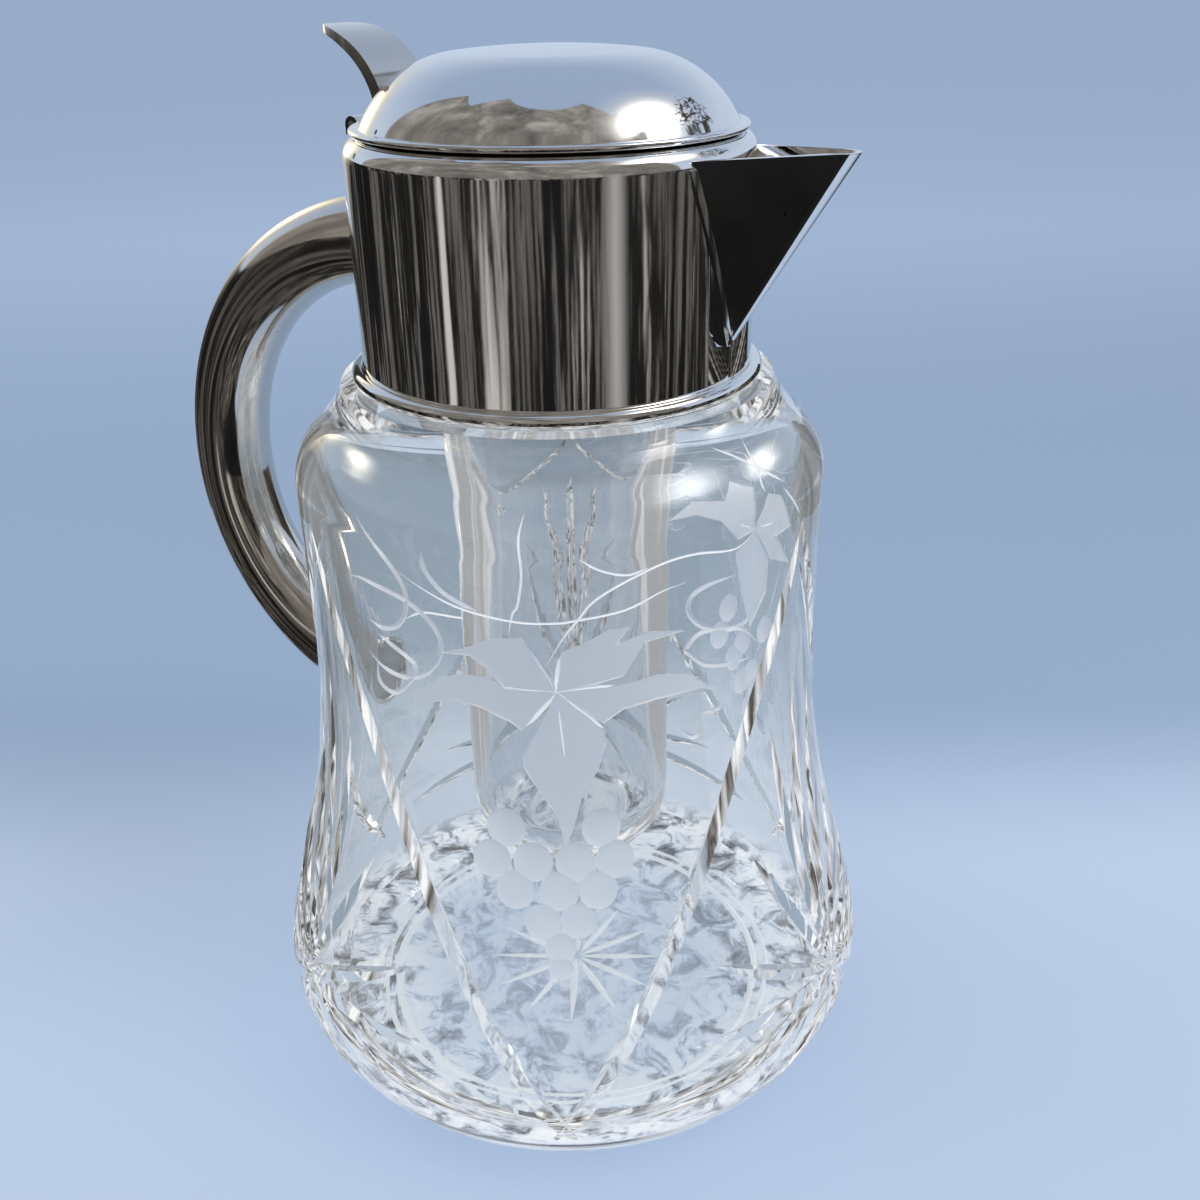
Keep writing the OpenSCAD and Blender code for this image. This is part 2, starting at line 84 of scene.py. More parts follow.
# ---- Floor --------------------------------------------------------------------------------
# A large sheet of pale steel-blue paper that the jug stands on.  It is lighter in front of
# the jug and greyer behind it.  Seen through glass it is painted greyer still, with painted light and a
# mottle of painted refractions under the foot.
FLOOR_NEAR = (0.46, 0.56, 0.73)
FLOOR_MIDDLE = (0.275, 0.37, 0.525)
FLOOR_FAR = (0.40, 0.52, 0.72)
# The floor as only glass shows it: painted light under the foot and a greyer tone behind it.
UNDER_FOOT = (0.62, 0.70, 0.82)
BEHIND_FOOT = (0.27, 0.34, 0.42)
PAPER_Z = -0.0004
PAPER_HALF = 20
TONE_FROM = 0.2
TONE_TO = 1.6
MOTTLE_R = 0.3


def new_material(name):
    """A material that has no nodes yet, and its node tree."""
    material = bpy.data.materials.new(name)
    material.use_nodes = True
    material.node_tree.nodes.clear()
    return material, material.node_tree


def add_node(tree, kind, sockets=None, **settings):
    """A shader node with these settings.  A socket gets a plain value, or a wire from another
    node, which is that node and the name of its output."""
    node = tree.nodes.new("ShaderNode" + kind)
    for setting, value in settings.items():
        setattr(node, setting, value)
    for socket, value in (sockets or {}).items():
        if isinstance(value, tuple) and isinstance(value[0], bpy.types.Node):
            tree.links.new(value[0].outputs[value[1]], node.inputs[socket])
        else:
            node.inputs[socket].default_value = value
    return node


def ramp(tree, wire, stops):
    """A colour ramp with a colour at each of the places given."""
    node = add_node(tree, "ValToRGB", {"Fac": wire})
    elements = node.color_ramp.elements
    while len(elements) < len(stops):
        elements.new(0.5)
    for element, (place, colour) in zip(elements, stops):
        element.position = place
        element.color = (*colour, 1)
    return node


def new_object(name, mesh):
    made = bpy.data.objects.new(name, mesh)
    bpy.context.scene.collection.objects.link(made)
    return made


def floor_paper():
    material, tree = new_material("floor_paper")
    place = add_node(tree, "TexCoord")
    turn = add_node(tree, "Mapping", {"Vector": (place, "Object"), "Location": (EYE[0], EYE[1], 0),
                                      "Rotation": (0, 0, LOOK_HEADING)}, vector_type="TEXTURE")
    split = add_node(tree, "SeparateXYZ", {"Vector": (turn, "Vector")})
    reach = add_node(tree, "MapRange", {"Value": (split, "X"), "From Min": TONE_FROM, "From Max": TONE_TO})
    tone = ramp(tree, (reach, "Result"), [(0.0, FLOOR_NEAR), (0.093, FLOOR_NEAR), (0.18, FLOOR_MIDDLE),
                                          (0.34, FLOOR_MIDDLE), (1.0, FLOOR_FAR)])
    tone.color_ramp.interpolation = "EASE"
    # Only glass shows this part: painted light under the foot, a greyer tone further out, and a mottle of
    # dark and white patches, painted refractions, strongest round the edge of the foot.
    mottle = add_node(tree, "TexNoise", {"Vector": (place, "Object"), "Scale": 95, "Detail": 8,
                                         "Roughness": 0.7, "Distortion": 0.8})
    painted_refraction = ramp(tree, (mottle, "Fac"), [
        (0.37, (0.07, 0.065, 0.06)), (0.43, (0.34, 0.32, 0.31)), (0.47, (0.52, 0.56, 0.64)),
        (0.51, (0.85, 0.87, 0.93)), (0.56, (1, 1, 1))])
    from_axis = add_node(tree, "VectorMath", {0: (place, "Object")}, operation="LENGTH")
    outwards = add_node(tree, "MapRange", {"Value": (from_axis, "Value"), "From Max": MOTTLE_R})
    plain = ramp(tree, (outwards, "Result"), [(0.0, UNDER_FOOT), (0.3, UNDER_FOOT), (0.8, BEHIND_FOOT)])
    bare = ramp(tree, (outwards, "Result"), [(far, (share,) * 3) for far, share in (
        (0.0, 0.62), (0.12, 0.58), (0.2, 0.1), (0.26, 0), (0.33, 1))])
    through = add_node(tree, "MixRGB", {"Fac": (bare, "Color"), "Color1": (painted_refraction, "Color"),
                                        "Color2": (plain, "Color")})
    path = add_node(tree, "LightPath")
    seen = add_node(tree, "MixRGB", {"Fac": (path, "Is Transmission Ray"), "Color1": (tone, "Color"),
                                     "Color2": (through, "Color")})
    surface = add_node(tree, "BsdfPrincipled", {"Base Color": (seen, "Color"), "Roughness": 0.9,
                                                "Specular IOR Level": 0.1})
    add_node(tree, "OutputMaterial", {"Surface": (surface, "BSDF")})
    return material


bm = bmesh.new()
bmesh.ops.create_grid(bm, x_segments=1, y_segments=1, size=PAPER_HALF,
                      matrix=Matrix.Translation((0, 0, PAPER_Z)))
floor_mesh = bpy.data.meshes.new("floor_sheet")
bm.to_mesh(floor_mesh)
floor_mesh.materials.append(floor_paper())
new_object("floor_sheet", floor_mesh)


# ---- Studio -------------------------------------------------------------------------------
# Even white light and two soft lamps.  Metal and glass also see a pale blue sky, dark streaked
# screens round the front of the jug, and a few soft bright cards.
LIGHT = (0.80, 0.80, 0.80)
SKY_TOP = (0.36, 0.46, 0.66)
SKY_SIDE = (0.58, 0.68, 0.84)
LAMP_AIM = (0, 0, 0.15)

world = bpy.data.worlds.new("soft_sky")
bpy.context.scene.world = world
world.use_nodes = True
tree = world.node_tree
place = add_node(tree, "TexCoord")
split = add_node(tree, "SeparateXYZ", {"Vector": (place, "Generated")})
tone = ramp(tree, (split, "Z"), [(0.0, SKY_SIDE), (0.3, SKY_SIDE), (0.75, SKY_TOP), (1.0, SKY_TOP)])
path = add_node(tree, "LightPath")
choose = add_node(tree, "MixRGB", {"Fac": (path, "Is Diffuse Ray"), "Color1": (tone, "Color"),
                                   "Color2": (*LIGHT, 1)})
tree.links.new(choose.outputs["Color"], tree.nodes["Background"].inputs["Color"])


def softbox(name, size, place, watts):
    """A soft square lamp that faces the jug and shows in no reflection."""
    lamp = bpy.data.objects.new(name, bpy.data.lights.new(name, "AREA"))
    lamp.data.size = size
    lamp.data.energy = watts
    lamp.location = place
    lamp.rotation_mode = "QUATERNION"
    lamp.rotation_quaternion = (Vector(LAMP_AIM) - Vector(place)).to_track_quat("-Z", "Y")
    lamp.visible_glossy = False
    lamp.visible_transmission = False
    bpy.context.scene.collection.objects.link(lamp)


softbox("key_lamp", 0.4, (0.75, 0.10, 1.1), 5)
softbox("fill_lamp", 0.8, (-0.9, -0.3, 1.1), 4)

IN_GLASS = (0.26, 0.28, 0.30)
IN_GLASS_SHARE = 0.6
CARD_RIM = 0.5
CARD_EDGE_LIGHT = 0.8


def screen_paint(name, stops, streaks, stretch, seed):
    """Uneven upright streaks, on a screen that gives its own light.  Seen through glass it is painted paler,
    towards a flat grey.
    """
    material, tree = new_material(name)
    place = add_node(tree, "TexCoord")
    squash = add_node(tree, "Mapping", {"Vector": (place, "Object"), "Location": (seed, seed, 0),
                                        "Scale": (streaks, streaks, streaks * stretch)})
    grain = add_node(tree, "TexNoise", {"Vector": (squash, "Vector"), "Scale": 1, "Detail": 8,
                                        "Roughness": 0.7, "Distortion": 0.4})
    tone = ramp(tree, (grain, "Fac"), stops)
    path = add_node(tree, "LightPath")
    in_glass = add_node(tree, "Math", {0: (path, "Transmission Depth"), 1: IN_GLASS_SHARE},
                        operation="MULTIPLY", use_clamp=True)
    pale = add_node(tree, "MixRGB", {"Fac": (in_glass, "Value"), "Color1": (tone, "Color"),
                                     "Color2": (*IN_GLASS, 1)})
    glow = add_node(tree, "Emission", {"Color": (pale, "Color")})
    add_node(tree, "OutputMaterial", {"Surface": (glow, "Emission")})
    return material


def card_paint(name, colour, strength, glass_only=False):
    """A patch that is brightest at its heart and fades out towards its rim.  One for glass only
    shows in no metal that is seen directly."""
    material, tree = new_material(name)
    place = add_node(tree, "UVMap")
    centre = add_node(tree, "VectorMath", {0: (place, "UV"), 1: (0.5, 0.5, 0)}, operation="DISTANCE")
    fade = add_node(tree, "MapRange", {"Value": (centre, "Value"), "From Max": CARD_RIM, "To Min": 1,
                                       "To Max": 0}, interpolation_type="SMOOTHSTEP")
    heart = add_node(tree, "Math", {0: (fade, "Result"), 1: 4}, operation="POWER")
    bright = add_node(tree, "Math", {0: (heart, "Value"), 1: strength, 2: CARD_EDGE_LIGHT},
                      operation="MULTIPLY_ADD")
    glow = add_node(tree, "Emission", {"Color": (*colour, 1), "Strength": (bright, "Value")})
    clear = add_node(tree, "BsdfTransparent")
    share = (fade, "Result")
    if glass_only:
        path = add_node(tree, "LightPath")
        inside = add_node(tree, "Math", {0: share, 1: (path, "Transmission Depth")},
                          operation="MULTIPLY", use_clamp=True)
        share = (inside, "Value")
    choose = add_node(tree, "MixShader", {"Fac": share, 1: (clear, "BSDF"), 2: (glow, "Emission")})
    add_node(tree, "OutputMaterial", {"Surface": (choose, "Shader")})
    return material


def speckled_paint():
    """Dark uneven specks with gaps between them, thinner towards the rim of the card."""
    material, tree = new_material("speckled_card")
    place = add_node(tree, "UVMap")
    cells = add_node(tree, "TexVoronoi", {"Vector": (place, "UV"), "Scale": 15},
                     feature="DISTANCE_TO_EDGE")
    specks = add_node(tree, "TexNoise", {"Vector": (place, "UV"), "Scale": 11, "Detail": 6})
    mixed = add_node(tree, "Math", {0: (cells, "Distance"), 1: 1.5, 2: (specks, "Fac")},
                     operation="MULTIPLY_ADD")
    centre = add_node(tree, "VectorMath", {0: (place, "UV"), 1: (0.5, 0.5, 0)}, operation="DISTANCE")
    rim = add_node(tree, "MapRange", {"Value": (centre, "Value"), "From Min": 0.25, "From Max": CARD_RIM,
                                      "To Max": 0.5})
    total = add_node(tree, "Math", {0: (mixed, "Value"), 1: (rim, "Result")}, operation="ADD")
    gaps = ramp(tree, (total, "Value"), [(0.60, (0, 0, 0)), (0.66, (1, 1, 1))])
    glow = add_node(tree, "Emission", {"Color": (0.05, 0.048, 0.04, 1)})
    clear = add_node(tree, "BsdfTransparent")
    choose = add_node(tree, "MixShader", {"Fac": (gaps, "Color"), 1: (glow, "Emission"),
                                          2: (clear, "BSDF")})
    add_node(tree, "OutputMaterial", {"Surface": (choose, "Shader")})
    return material


def hang(name, bm, paint, in_glass):
    """Hangs a screen or a card where only shining surfaces see it."""
    mesh = bpy.data.meshes.new(name)
    bm.to_mesh(mesh)
    bm.free()
    mesh.materials.append(paint)
    made = new_object(name, mesh)
    made.visible_camera = False
    made.visible_diffuse = False
    made.visible_shadow = False
    made.visible_transmission = in_glass


def screen(name, start, end, heading, half_width, paint, in_glass=False):
    """A screen that is a line in the plane y = 0, swung round the jug by half_width degrees to
    each side of its heading."""
    bm = bmesh.new()
    ends = [bm.verts.new((start[0], 0, start[1])), bm.verts.new((end[0], 0, end[1]))]
    line = bm.edges.new(ends)
    from_heading, width = math.radians(heading) - math.radians(half_width), 2 * math.radians(half_width)
    bmesh.ops.rotate(bm, verts=ends, matrix=Matrix.Rotation(from_heading, 3, "Z"))
    bmesh.ops.spin(bm, geom=ends + [line], axis=(0, 0, 1), angle=width, steps=64)
    hang(name, bm, paint, in_glass)


CARD_AIM_Z = 0.22


def card(name, heading, rise, reach, size, paint):
    """A flat card that faces a point of the jug's axis.  It hangs reach metres from that point,
    heading degrees round it and rise degrees up."""
    bm = bmesh.new()
    bm.loops.layers.uv.new("card")
    bmesh.ops.create_grid(bm, x_segments=1, y_segments=1, size=0.5, calc_uvs=True)
    bmesh.ops.scale(bm, vec=(size[0], size[1], 1), verts=bm.verts)
    heading, rise = math.radians(heading), math.radians(rise)
    way = Vector((math.cos(heading) * math.cos(rise), math.sin(heading) * math.cos(rise), math.sin(rise)))
    turn = way.to_track_quat("Z", "Y").to_matrix().to_4x4()
    turn.translation = way * reach + Vector((0, 0, CARD_AIM_Z))
    bmesh.ops.transform(bm, matrix=turn, verts=bm.verts)
    hang(name, bm, paint, True)


dark_wood = screen_paint("dark_wood", [
    (0.38, (0.008, 0.008, 0.009)), (0.46, (0.014, 0.013, 0.013)), (0.48, (0.17, 0.16, 0.15)),
    (0.51, (0.09, 0.085, 0.08)), (0.53, (0.010, 0.010, 0.010)), (0.58, (0.02, 0.019, 0.018)),
    (0.60, (0.28, 0.265, 0.25)), (0.66, (0.62, 0.61, 0.59))], 8, 0.12, 3)
black_cloth = screen_paint("black_cloth", [
    (0.35, (0.006, 0.007, 0.009)), (0.5, (0.014, 0.013, 0.012)), (0.65, (0.012, 0.018, 0.03))], 6, 1, 5)
grey_brown = screen_paint("grey_brown", [
    (0.36, (0.12, 0.115, 0.107)), (0.52, (0.24, 0.225, 0.21)), (0.66, (0.46, 0.445, 0.43))], 5, 0.5, 8)
LOW_R = 0.42
LOW_TOP = 0.25
EAVE_R = 0.44
EAVE_Z = 1.04
CLOTH_Z = 0.001

screen("low_screen", (LOW_R, 0), (LOW_R, LOW_TOP), -56, 143, dark_wood, True)
screen("dark_cloth", (0.13, CLOTH_Z), (LOW_R, CLOTH_Z), -50, 48, black_cloth)
screen("side_cloth", (0.12, CLOTH_Z), (LOW_R, CLOTH_Z), -141, 43, dark_wood)
screen("high_screen", (LOW_R, LOW_TOP), (EAVE_R, EAVE_Z), -80, 92, grey_brown)
screen("eave", (EAVE_R, EAVE_Z), (0.21, 1.12), -72, 78, grey_brown)
card("sun_card", 22, 48, 0.60, (0.95, 0.62), card_paint("sun_glow", (1.0, 0.99, 0.97), 9))
card("warm_card", 158, 10, 0.40, (0.34, 0.34), card_paint("warm_glow", (1.0, 0.88, 0.62), 3))
card("pale_strip", -25, -11, 0.40, (0.11, 0.9), card_paint("pale_glow", (0.46, 0.455, 0.45), 0.1))
card("left_spark", 178, 26, 0.45, (0.55, 0.26), card_paint("left_spark_glow", (1.0, 0.93, 0.78), 15, True))
card("right_spark", 56, 24, 0.45, (0.55, 0.34), card_paint("right_spark_glow", (1.0, 0.98, 0.95), 15, True))
card("speckled_card", 53, 34, 0.50, (0.40, 0.30), speckled_paint())


# ---- Cut glass body -----------------------------------------------------------------------
# One heavy body of clear glass, from its thick floor to the neck that stands inside the mount.
# It is cut with a mitre zigzag, fans of olives, and a star and two rings under the foot.  A vine
# is engraved on two of its panels and left matt.
BELLY_R = 82
BELLY_Z = 28
FOOT_ARC = 30
BELLY_ARC = 28
LEAN = 14.4
WAIST_R = 64.6
WAIST_Z = 129.7
WAIST_ARC = 240
SHOULDER_Z = 166.6
SHOULDER_ARC = 16
SHOULDER_TURN = 50
LEDGE_Z = 189.5
NECK_ARC_X = 74.95
NECK_ARC_Z = 198.05
NECK_R = 43.8
NECK_TOP = 206
BRIM = 0.8
WALL = 5
NECK_IN = 39.3
FLOOR_T = 11
FLOOR_CORNER = 7
FRONT_V = -58.8
MM = 0.001


def outline(bm, x, z, moves, step):
    """A chain of edges in the plane y = 0.  A move (x, z) is a straight line to that point, and
    a move (x, z, degrees) is an arc round that centre."""
    vert = bm.verts.new((x, 0, z))
    for move in moves:
        if len(move) == 2:
            vert = bmesh.ops.extrude_vert_indiv(bm, verts=[vert])["verts"][0]
            vert.co = (move[0], 0, move[1])
        else:
            centre = Vector((move[0], 0, move[1]))
            turn = math.radians(move[2])
            steps = max(3, round(abs(turn) * (vert.co - centre).length / step))
            swung = bmesh.ops.spin(bm, geom=[vert], cent=centre, axis=(0, -1, 0), angle=turn, steps=steps)
            vert = swung["geom_last"][0]


def turned(x, z, moves, step=2.0, segments=192):
    """A shape spun round the jug's upright axis."""
    bm = bmesh.new()
    outline(bm, x, z, moves, step)
    bmesh.ops.spin(bm, geom=bm.verts[:] + bm.edges[:], axis=(0, 0, 1), angle=math.tau,
                   steps=segments, use_merge=True)
    bmesh.ops.remove_doubles(bm, verts=bm.verts, dist=0.01)
    bmesh.ops.recalc_face_normals(bm, faces=bm.faces)
    return bm


def to_mesh(bm, name, materials, smooth_below=30):
    """Turns millimetres into metres and shades every edge flatter than smooth_below smooth."""
    bmesh.ops.scale(bm, vec=(MM, MM, MM), verts=bm.verts)
    mesh = bpy.data.meshes.new(name)
    bm.to_mesh(mesh)
    bm.free()
    for material in materials:
        mesh.materials.append(material)
    mesh.shade_smooth()
    mesh.set_sharp_from_angle(angle=math.radians(smooth_below))
    return mesh


def blown_body():
    lean = math.radians(LEAN)
    foot_in = math.asin((BELLY_Z - FLOOR_T - FLOOR_CORNER) / (FOOT_ARC - WALL - FLOOR_CORNER))
    corner_x = BELLY_R - FOOT_ARC + (FOOT_ARC - WALL - FLOOR_CORNER) * math.cos(foot_in)
    waist_out = (WAIST_R + WAIST_ARC - WAIST_ARC * math.cos(lean), WAIST_Z - WAIST_ARC * math.sin(lean))
    belly_in = (BELLY_R - BELLY_ARC + (BELLY_ARC - WALL) * math.cos(lean),
                BELLY_Z + (BELLY_ARC - WALL) * math.sin(lean))
    foot_turn = math.degrees(math.asin(BELLY_Z / FOOT_ARC))
    stand_r = BELLY_R - FOOT_ARC + math.sqrt(FOOT_ARC ** 2 - BELLY_Z ** 2)
    return turned(0, 0, [
        (stand_r, 0),
        (BELLY_R - FOOT_ARC, BELLY_Z, foot_turn),
        (BELLY_R - BELLY_ARC, BELLY_Z, LEAN),
        waist_out,
        (WAIST_R + WAIST_ARC, WAIST_Z, -LEAN),
        (WAIST_R, SHOULDER_Z),
        (WAIST_R - SHOULDER_ARC, SHOULDER_Z, SHOULDER_TURN),
        (NECK_ARC_X, NECK_ARC_Z, -30),
        (NECK_R, LEDGE_Z),
        (NECK_R, NECK_TOP - BRIM),
        (NECK_R - BRIM, NECK_TOP - BRIM, 90),
        (NECK_IN + BRIM, NECK_TOP),
        (NECK_IN + BRIM, NECK_TOP - BRIM, 90),
        (NECK_IN, LEDGE_Z - 1),
        (WAIST_R - SHOULDER_ARC + (SHOULDER_ARC - WALL) * math.cos(math.radians(SHOULDER_TURN)),
         SHOULDER_Z + (SHOULDER_ARC - WALL) * math.sin(math.radians(SHOULDER_TURN))),
        (WAIST_R - SHOULDER_ARC, SHOULDER_Z, -SHOULDER_TURN),
        (WAIST_R - WALL, WAIST_Z),
        (WAIST_R + WAIST_ARC, WAIST_Z, LEAN),
        belly_in,
        (BELLY_R - BELLY_ARC, BELLY_Z, -LEAN),
        (BELLY_R - FOOT_ARC, BELLY_Z, -math.degrees(foot_in)),
        (corner_x, FLOOR_T + FLOOR_CORNER, math.degrees(foot_in) - 90),
        (0, FLOOR_T),
    ])


body_bm = blown_body()
glass_skin = BVHTree.FromBMesh(body_bm)

OUTSIDE = 120
PROUD = 0.6
MITRE_DEPTH = 0.42
THINNEST = 0.08


def on_side(turn, z):
    """The place on the glass at a height, turn degrees round from the foot of the front V, the
    way out of the glass there, and how many millimetres a degree takes up."""
    angle = math.radians(turn + FRONT_V)
    ahead = Vector((math.cos(angle), math.sin(angle), 0))
    place, normal, _, _ = glass_skin.ray_cast(ahead * OUTSIDE + Vector((0, 0, max(z, 0.5))), -ahead)
    out = ahead * math.hypot(normal.x, normal.y) + Vector((0, 0, normal.z))
    return place, out.normalized(), math.hypot(place.x, place.y) * math.radians(1)


def on_base(x, y):
    """The same for the flat underside, where places are plain x and y."""
    return Vector((x, y, 0)), Vector((0, 0, -1)), 1


def mitre(width):
    """Cross-section of a V cut: across and out of the glass."""
    depth = MITRE_DEPTH * width
    half = 0.5 * width * (1 + PROUD / depth)
    return [(-half, PROUD), (0, -depth), (half, PROUD)]


def swept_cut(path, section, skin):
    """A solid with that cross-section along a path of (turn, z, width) places."""
    rings = len(path)
    corners = len(section(1))
    bm = bmesh.new()
    verts = bmesh.ops.create_grid(bm, x_segments=corners, y_segments=rings - 1)["verts"]
    for i, (turn, z, width) in enumerate(path):
        before, after = path[max(i - 1, 0)], path[min(i + 1, rings - 1)]
        per_degree = skin(turn, z)[2]
        along = Vector(((after[0] - before[0]) * per_degree, after[1] - before[1])).normalized()
        ring = section(max(width, THINNEST))
        for j in range(corners + 1):
            across, height = ring[j % corners]
            place, out, _ = skin(turn + across * along.y / per_degree, z - across * along.x)
            verts[i * (corners + 1) + j].co = place + out * height
    bmesh.ops.remove_doubles(bm, verts=bm.verts, dist=0.001)
    bmesh.ops.holes_fill(bm, edges=bm.edges, sides=0)
    bmesh.ops.recalc_face_normals(bm, faces=bm.faces)
    return bm


def tapered(points, width, tip):
    """Gives each point its width, full in the middle and drawn to a point at both ends."""
    last = len(points) - 1
    return [(turn, z, width * min(1, (i + 0.15) / (last * tip), (last - i + 0.15) / (last * tip)))
            for i, (turn, z) in enumerate(points)]


def smooth_path(points, steps=6):
    """A soft curve through the points."""
    places = [Vector(point) for point in points]
    ends = [2 * places[0] - places[1]] + places + [2 * places[-1] - places[-2]]
    curve = [places[0]]
    for before, start, end, after in zip(ends, ends[1:], ends[2:], ends[3:]):
        curve += interpolate_bezier(start, start + (end - before) / 6, end - (after - start) / 6,
                                    end, steps + 1)[1:]
    return [(place.x, place.y) for place in curve]


V_COUNT = 3
V_WIDTH = 4.4
V_FOOT_Z = 24
V_RISE = 2.05
V_BEND = 0.0042


def zigzag():
    """The six legs of the mitre zigzag."""
    cuts = []
    for foot in range(0, 360, 360 // V_COUNT):
        for side in (-1, 1):
            leg = []
            for i in range(-1, 31):
                turn = 2 * i
                z = V_FOOT_Z + V_RISE * turn + V_BEND * turn ** 2
                width = V_WIDTH * min(1, (i + 1.6) / 2.5, (30.4 - i) / 3)
                leg.append((foot + side * turn, z, width))
            cuts.append(swept_cut(leg, mitre, on_side))
    return cuts


FAN_Z = 38
FAN_TIPS = [(0, 126), (10, 114), (18.5, 83), (31, 61), (37, 42), (48, 24.5), (20, 12), (0, 7)]
FAN_START = 0.05
OLIVE_WIDTH = 4.2


def olive(x0, z0, x1, z1, width, skin, steps=14):
    """One cut that swells in the middle and is pointed at both ends."""
    path = []
    for i in range(steps + 1):
        share = i / steps
        swell = math.sin(math.pi * share ** 0.8) ** 0.8 if 0 < share < 1 else 0
        path.append((x0 + (x1 - x0) * share, z0 + (z1 - z0) * share, width * swell))
    return swept_cut(path, mitre, skin)


def fans():
    cuts = []
    for middle in range(60, 360, 360 // V_COUNT):
        for side in (-1, 1):
            for across, tip_z in FAN_TIPS:
                if side < 0 and across == 0:
                    continue
                across *= side
                cuts.append(olive(middle + FAN_START * across, FAN_Z + FAN_START * (tip_z - FAN_Z),
                                  middle + across, tip_z, OLIVE_WIDTH, on_side))
    return cuts


STAR_IN = 1.2
STAR_R = 26
STAR_RAYS = 12
STAR_WIDTH = 2.2


def base_star():
    cuts = []
    for i in range(STAR_RAYS):
        angle = math.tau * i / STAR_RAYS
        along_x, along_y = math.cos(angle), math.sin(angle)
        cuts.append(olive(STAR_IN * along_x, STAR_IN * along_y, STAR_R * along_x, STAR_R * along_y,
                          STAR_WIDTH, on_base, 8))
    return cuts


RING_CUTS = ((54.5, 2.2), (58.2, 1.6))


def base_rings():
    """Two fine rings cut round the star, just inside the edge of the foot."""
    return [turned(r, 0.4 * wide, [(r - 0.8 * wide, -0.24 * wide), (r + 0.8 * wide, -0.24 * wide),
                                   (r, 0.4 * wide)]) for r, wide in RING_CUTS]


SLICE_SHIFT = 0.013


def engraved_patch(points, shift, depth):
    """A shallow flat recess with the outline given, sliced so that it bends with the glass."""
    bm = bmesh.new()
    bm.faces.new([bm.verts.new((turn, z, -depth)) for turn, z in points])
    for axis, gap, normal in ((0, 2.5, (1, 0, 0)), (1, 4.0, (0, 1, 0))):
        low = min(point[axis] for point in points)
        high = max(point[axis] for point in points)
        for i in range(1, int((high - low) / gap) + 1):
            mark = low + gap * i + SLICE_SHIFT
            bmesh.ops.bisect_plane(bm, geom=bm.verts[:] + bm.edges[:] + bm.faces[:],
                                   plane_co=Vector(normal) * mark, plane_no=normal)
    raised = bmesh.ops.extrude_face_region(bm, geom=bm.faces[:])["geom"]
    for vert in raised:
        if isinstance(vert, bmesh.types.BMVert):
            vert.co.z = PROUD
    for vert in bm.verts:
        place, out, _ = on_side(shift + vert.co.x, vert.co.y)
        vert.co = place + out * vert.co.z
    bmesh.ops.triangulate(bm, faces=bm.faces)
    bmesh.ops.recalc_face_normals(bm, faces=bm.faces)
    return bm


def lens(turn, z, across, tall, depth):
    """A shallow round cut, for a grape."""
    place, out, _ = on_side(turn, z)
    up = (Vector((0, 0, 1)) - out * out.z).normalized()
    side = up.cross(out)
    bm = bmesh.new()
    bmesh.ops.create_uvsphere(bm, u_segments=28, v_segments=14, radius=1)
    bmesh.ops.scale(bm, vec=(across * 1.06, tall * 1.06, depth * 1.5), verts=bm.verts)
    seat = Matrix((side, up, out)).transposed().to_4x4()
    seat.translation = place + out * depth * 0.5
    bmesh.ops.transform(bm, matrix=seat, verts=bm.verts)
    return bm


LEAF_HEART = (0.6, 137.2)
LEAF_LOBES = [
    [(-6.4, 120.5), (-6.1, 117.6), (-4.6, 114.4), (-2.8, 111), (-0.6, 107), (0.5, 103.7), (1.4, 96.9),
     (3.6, 104.3), (5.1, 111.4), (8.3, 117.3), (9.9, 123.9), (9.7, 127)],
    [(-9.4, 137.7), (-12.7, 140.2), (-18, 140.1), (-22.8, 138), (-26.5, 134.7), (-29, 131), (-29.8, 126.5),
     (-24, 131.9), (-19, 133.3), (-14.2, 132.4), (-8.8, 129.6), (-6.3, 127.5)],
    [(-5.4, 150.2), (-8.3, 150), (-11.4, 149.7), (-15.2, 147.4), (-21.7, 144.6), (-16.1, 145.1),
     (-12.7, 142.4), (-9.4, 138)],
    [(13.6, 140.2), (17.6, 147.6), (25.9, 148.6), (18.6, 150.1), (12.1, 148.1), (14.9, 151.8), (10.8, 151.7),
     (7.8, 149.9), (1.8, 146.9)],
    [(9.5, 128.9), (13.5, 131.9), (20.2, 133), (29.7, 133.1), (34, 130.9), (27.2, 137.3), (20.1, 139.2),
     (14.5, 138.1)],
]
LEAF_VEINS = [(-10, 137.8), (11.5, 138.3), (-5.6, 149.6), (1.7, 146.4), (-6.2, 128), (9.6, 127.6),
              (2.2, 116)]
SMALL_LEAF_HEART = (42.6, 167.3)
SMALL_LEAF_LOBES = [
    [(37.8, 166.5), (34.1, 171.6), (29, 173.9), (22.9, 173.9), (29, 176.5), (36.2, 175.1), (39.3, 178.1),
     (44.5, 175.7), (42.5, 169.6)],
    [(43.2, 169.2), (47.8, 173.6), (51.3, 172.1), (54.6, 163.8), (49.2, 163.4), (54.6, 154.7),
     (47.5, 158.5)],
    [(46.9, 158.5), (46.7, 151), (42.1, 143.7), (39.4, 152.9), (37.3, 163.3)],
]
SMALL_LEAF_VEINS = [(37.6, 170.4), (50.3, 166.5), (42.9, 152)]
GRAPES = [(-10.2, 102.3, 4.9), (8.5, 102.3, 4.9), (-13.2, 94, 4.9), (-5, 94, 5), (3.2, 94, 5), (11, 94, 4.9),
          (-8.5, 86.6, 4.9), (0, 86.6, 5), (7.5, 86.6, 4.9), (-3.3, 79, 4.5), (3.4, 79, 4.5),
          (0, 72.5, 3.8), (0, 67.3, 3)]
OVAL_GRAPES = [(36, 151), (34, 145), (40, 141), (38, 138), (46.5, 141.5), (43, 132), (40.4, 131),
               (44.4, 127), (43, 123.5)]
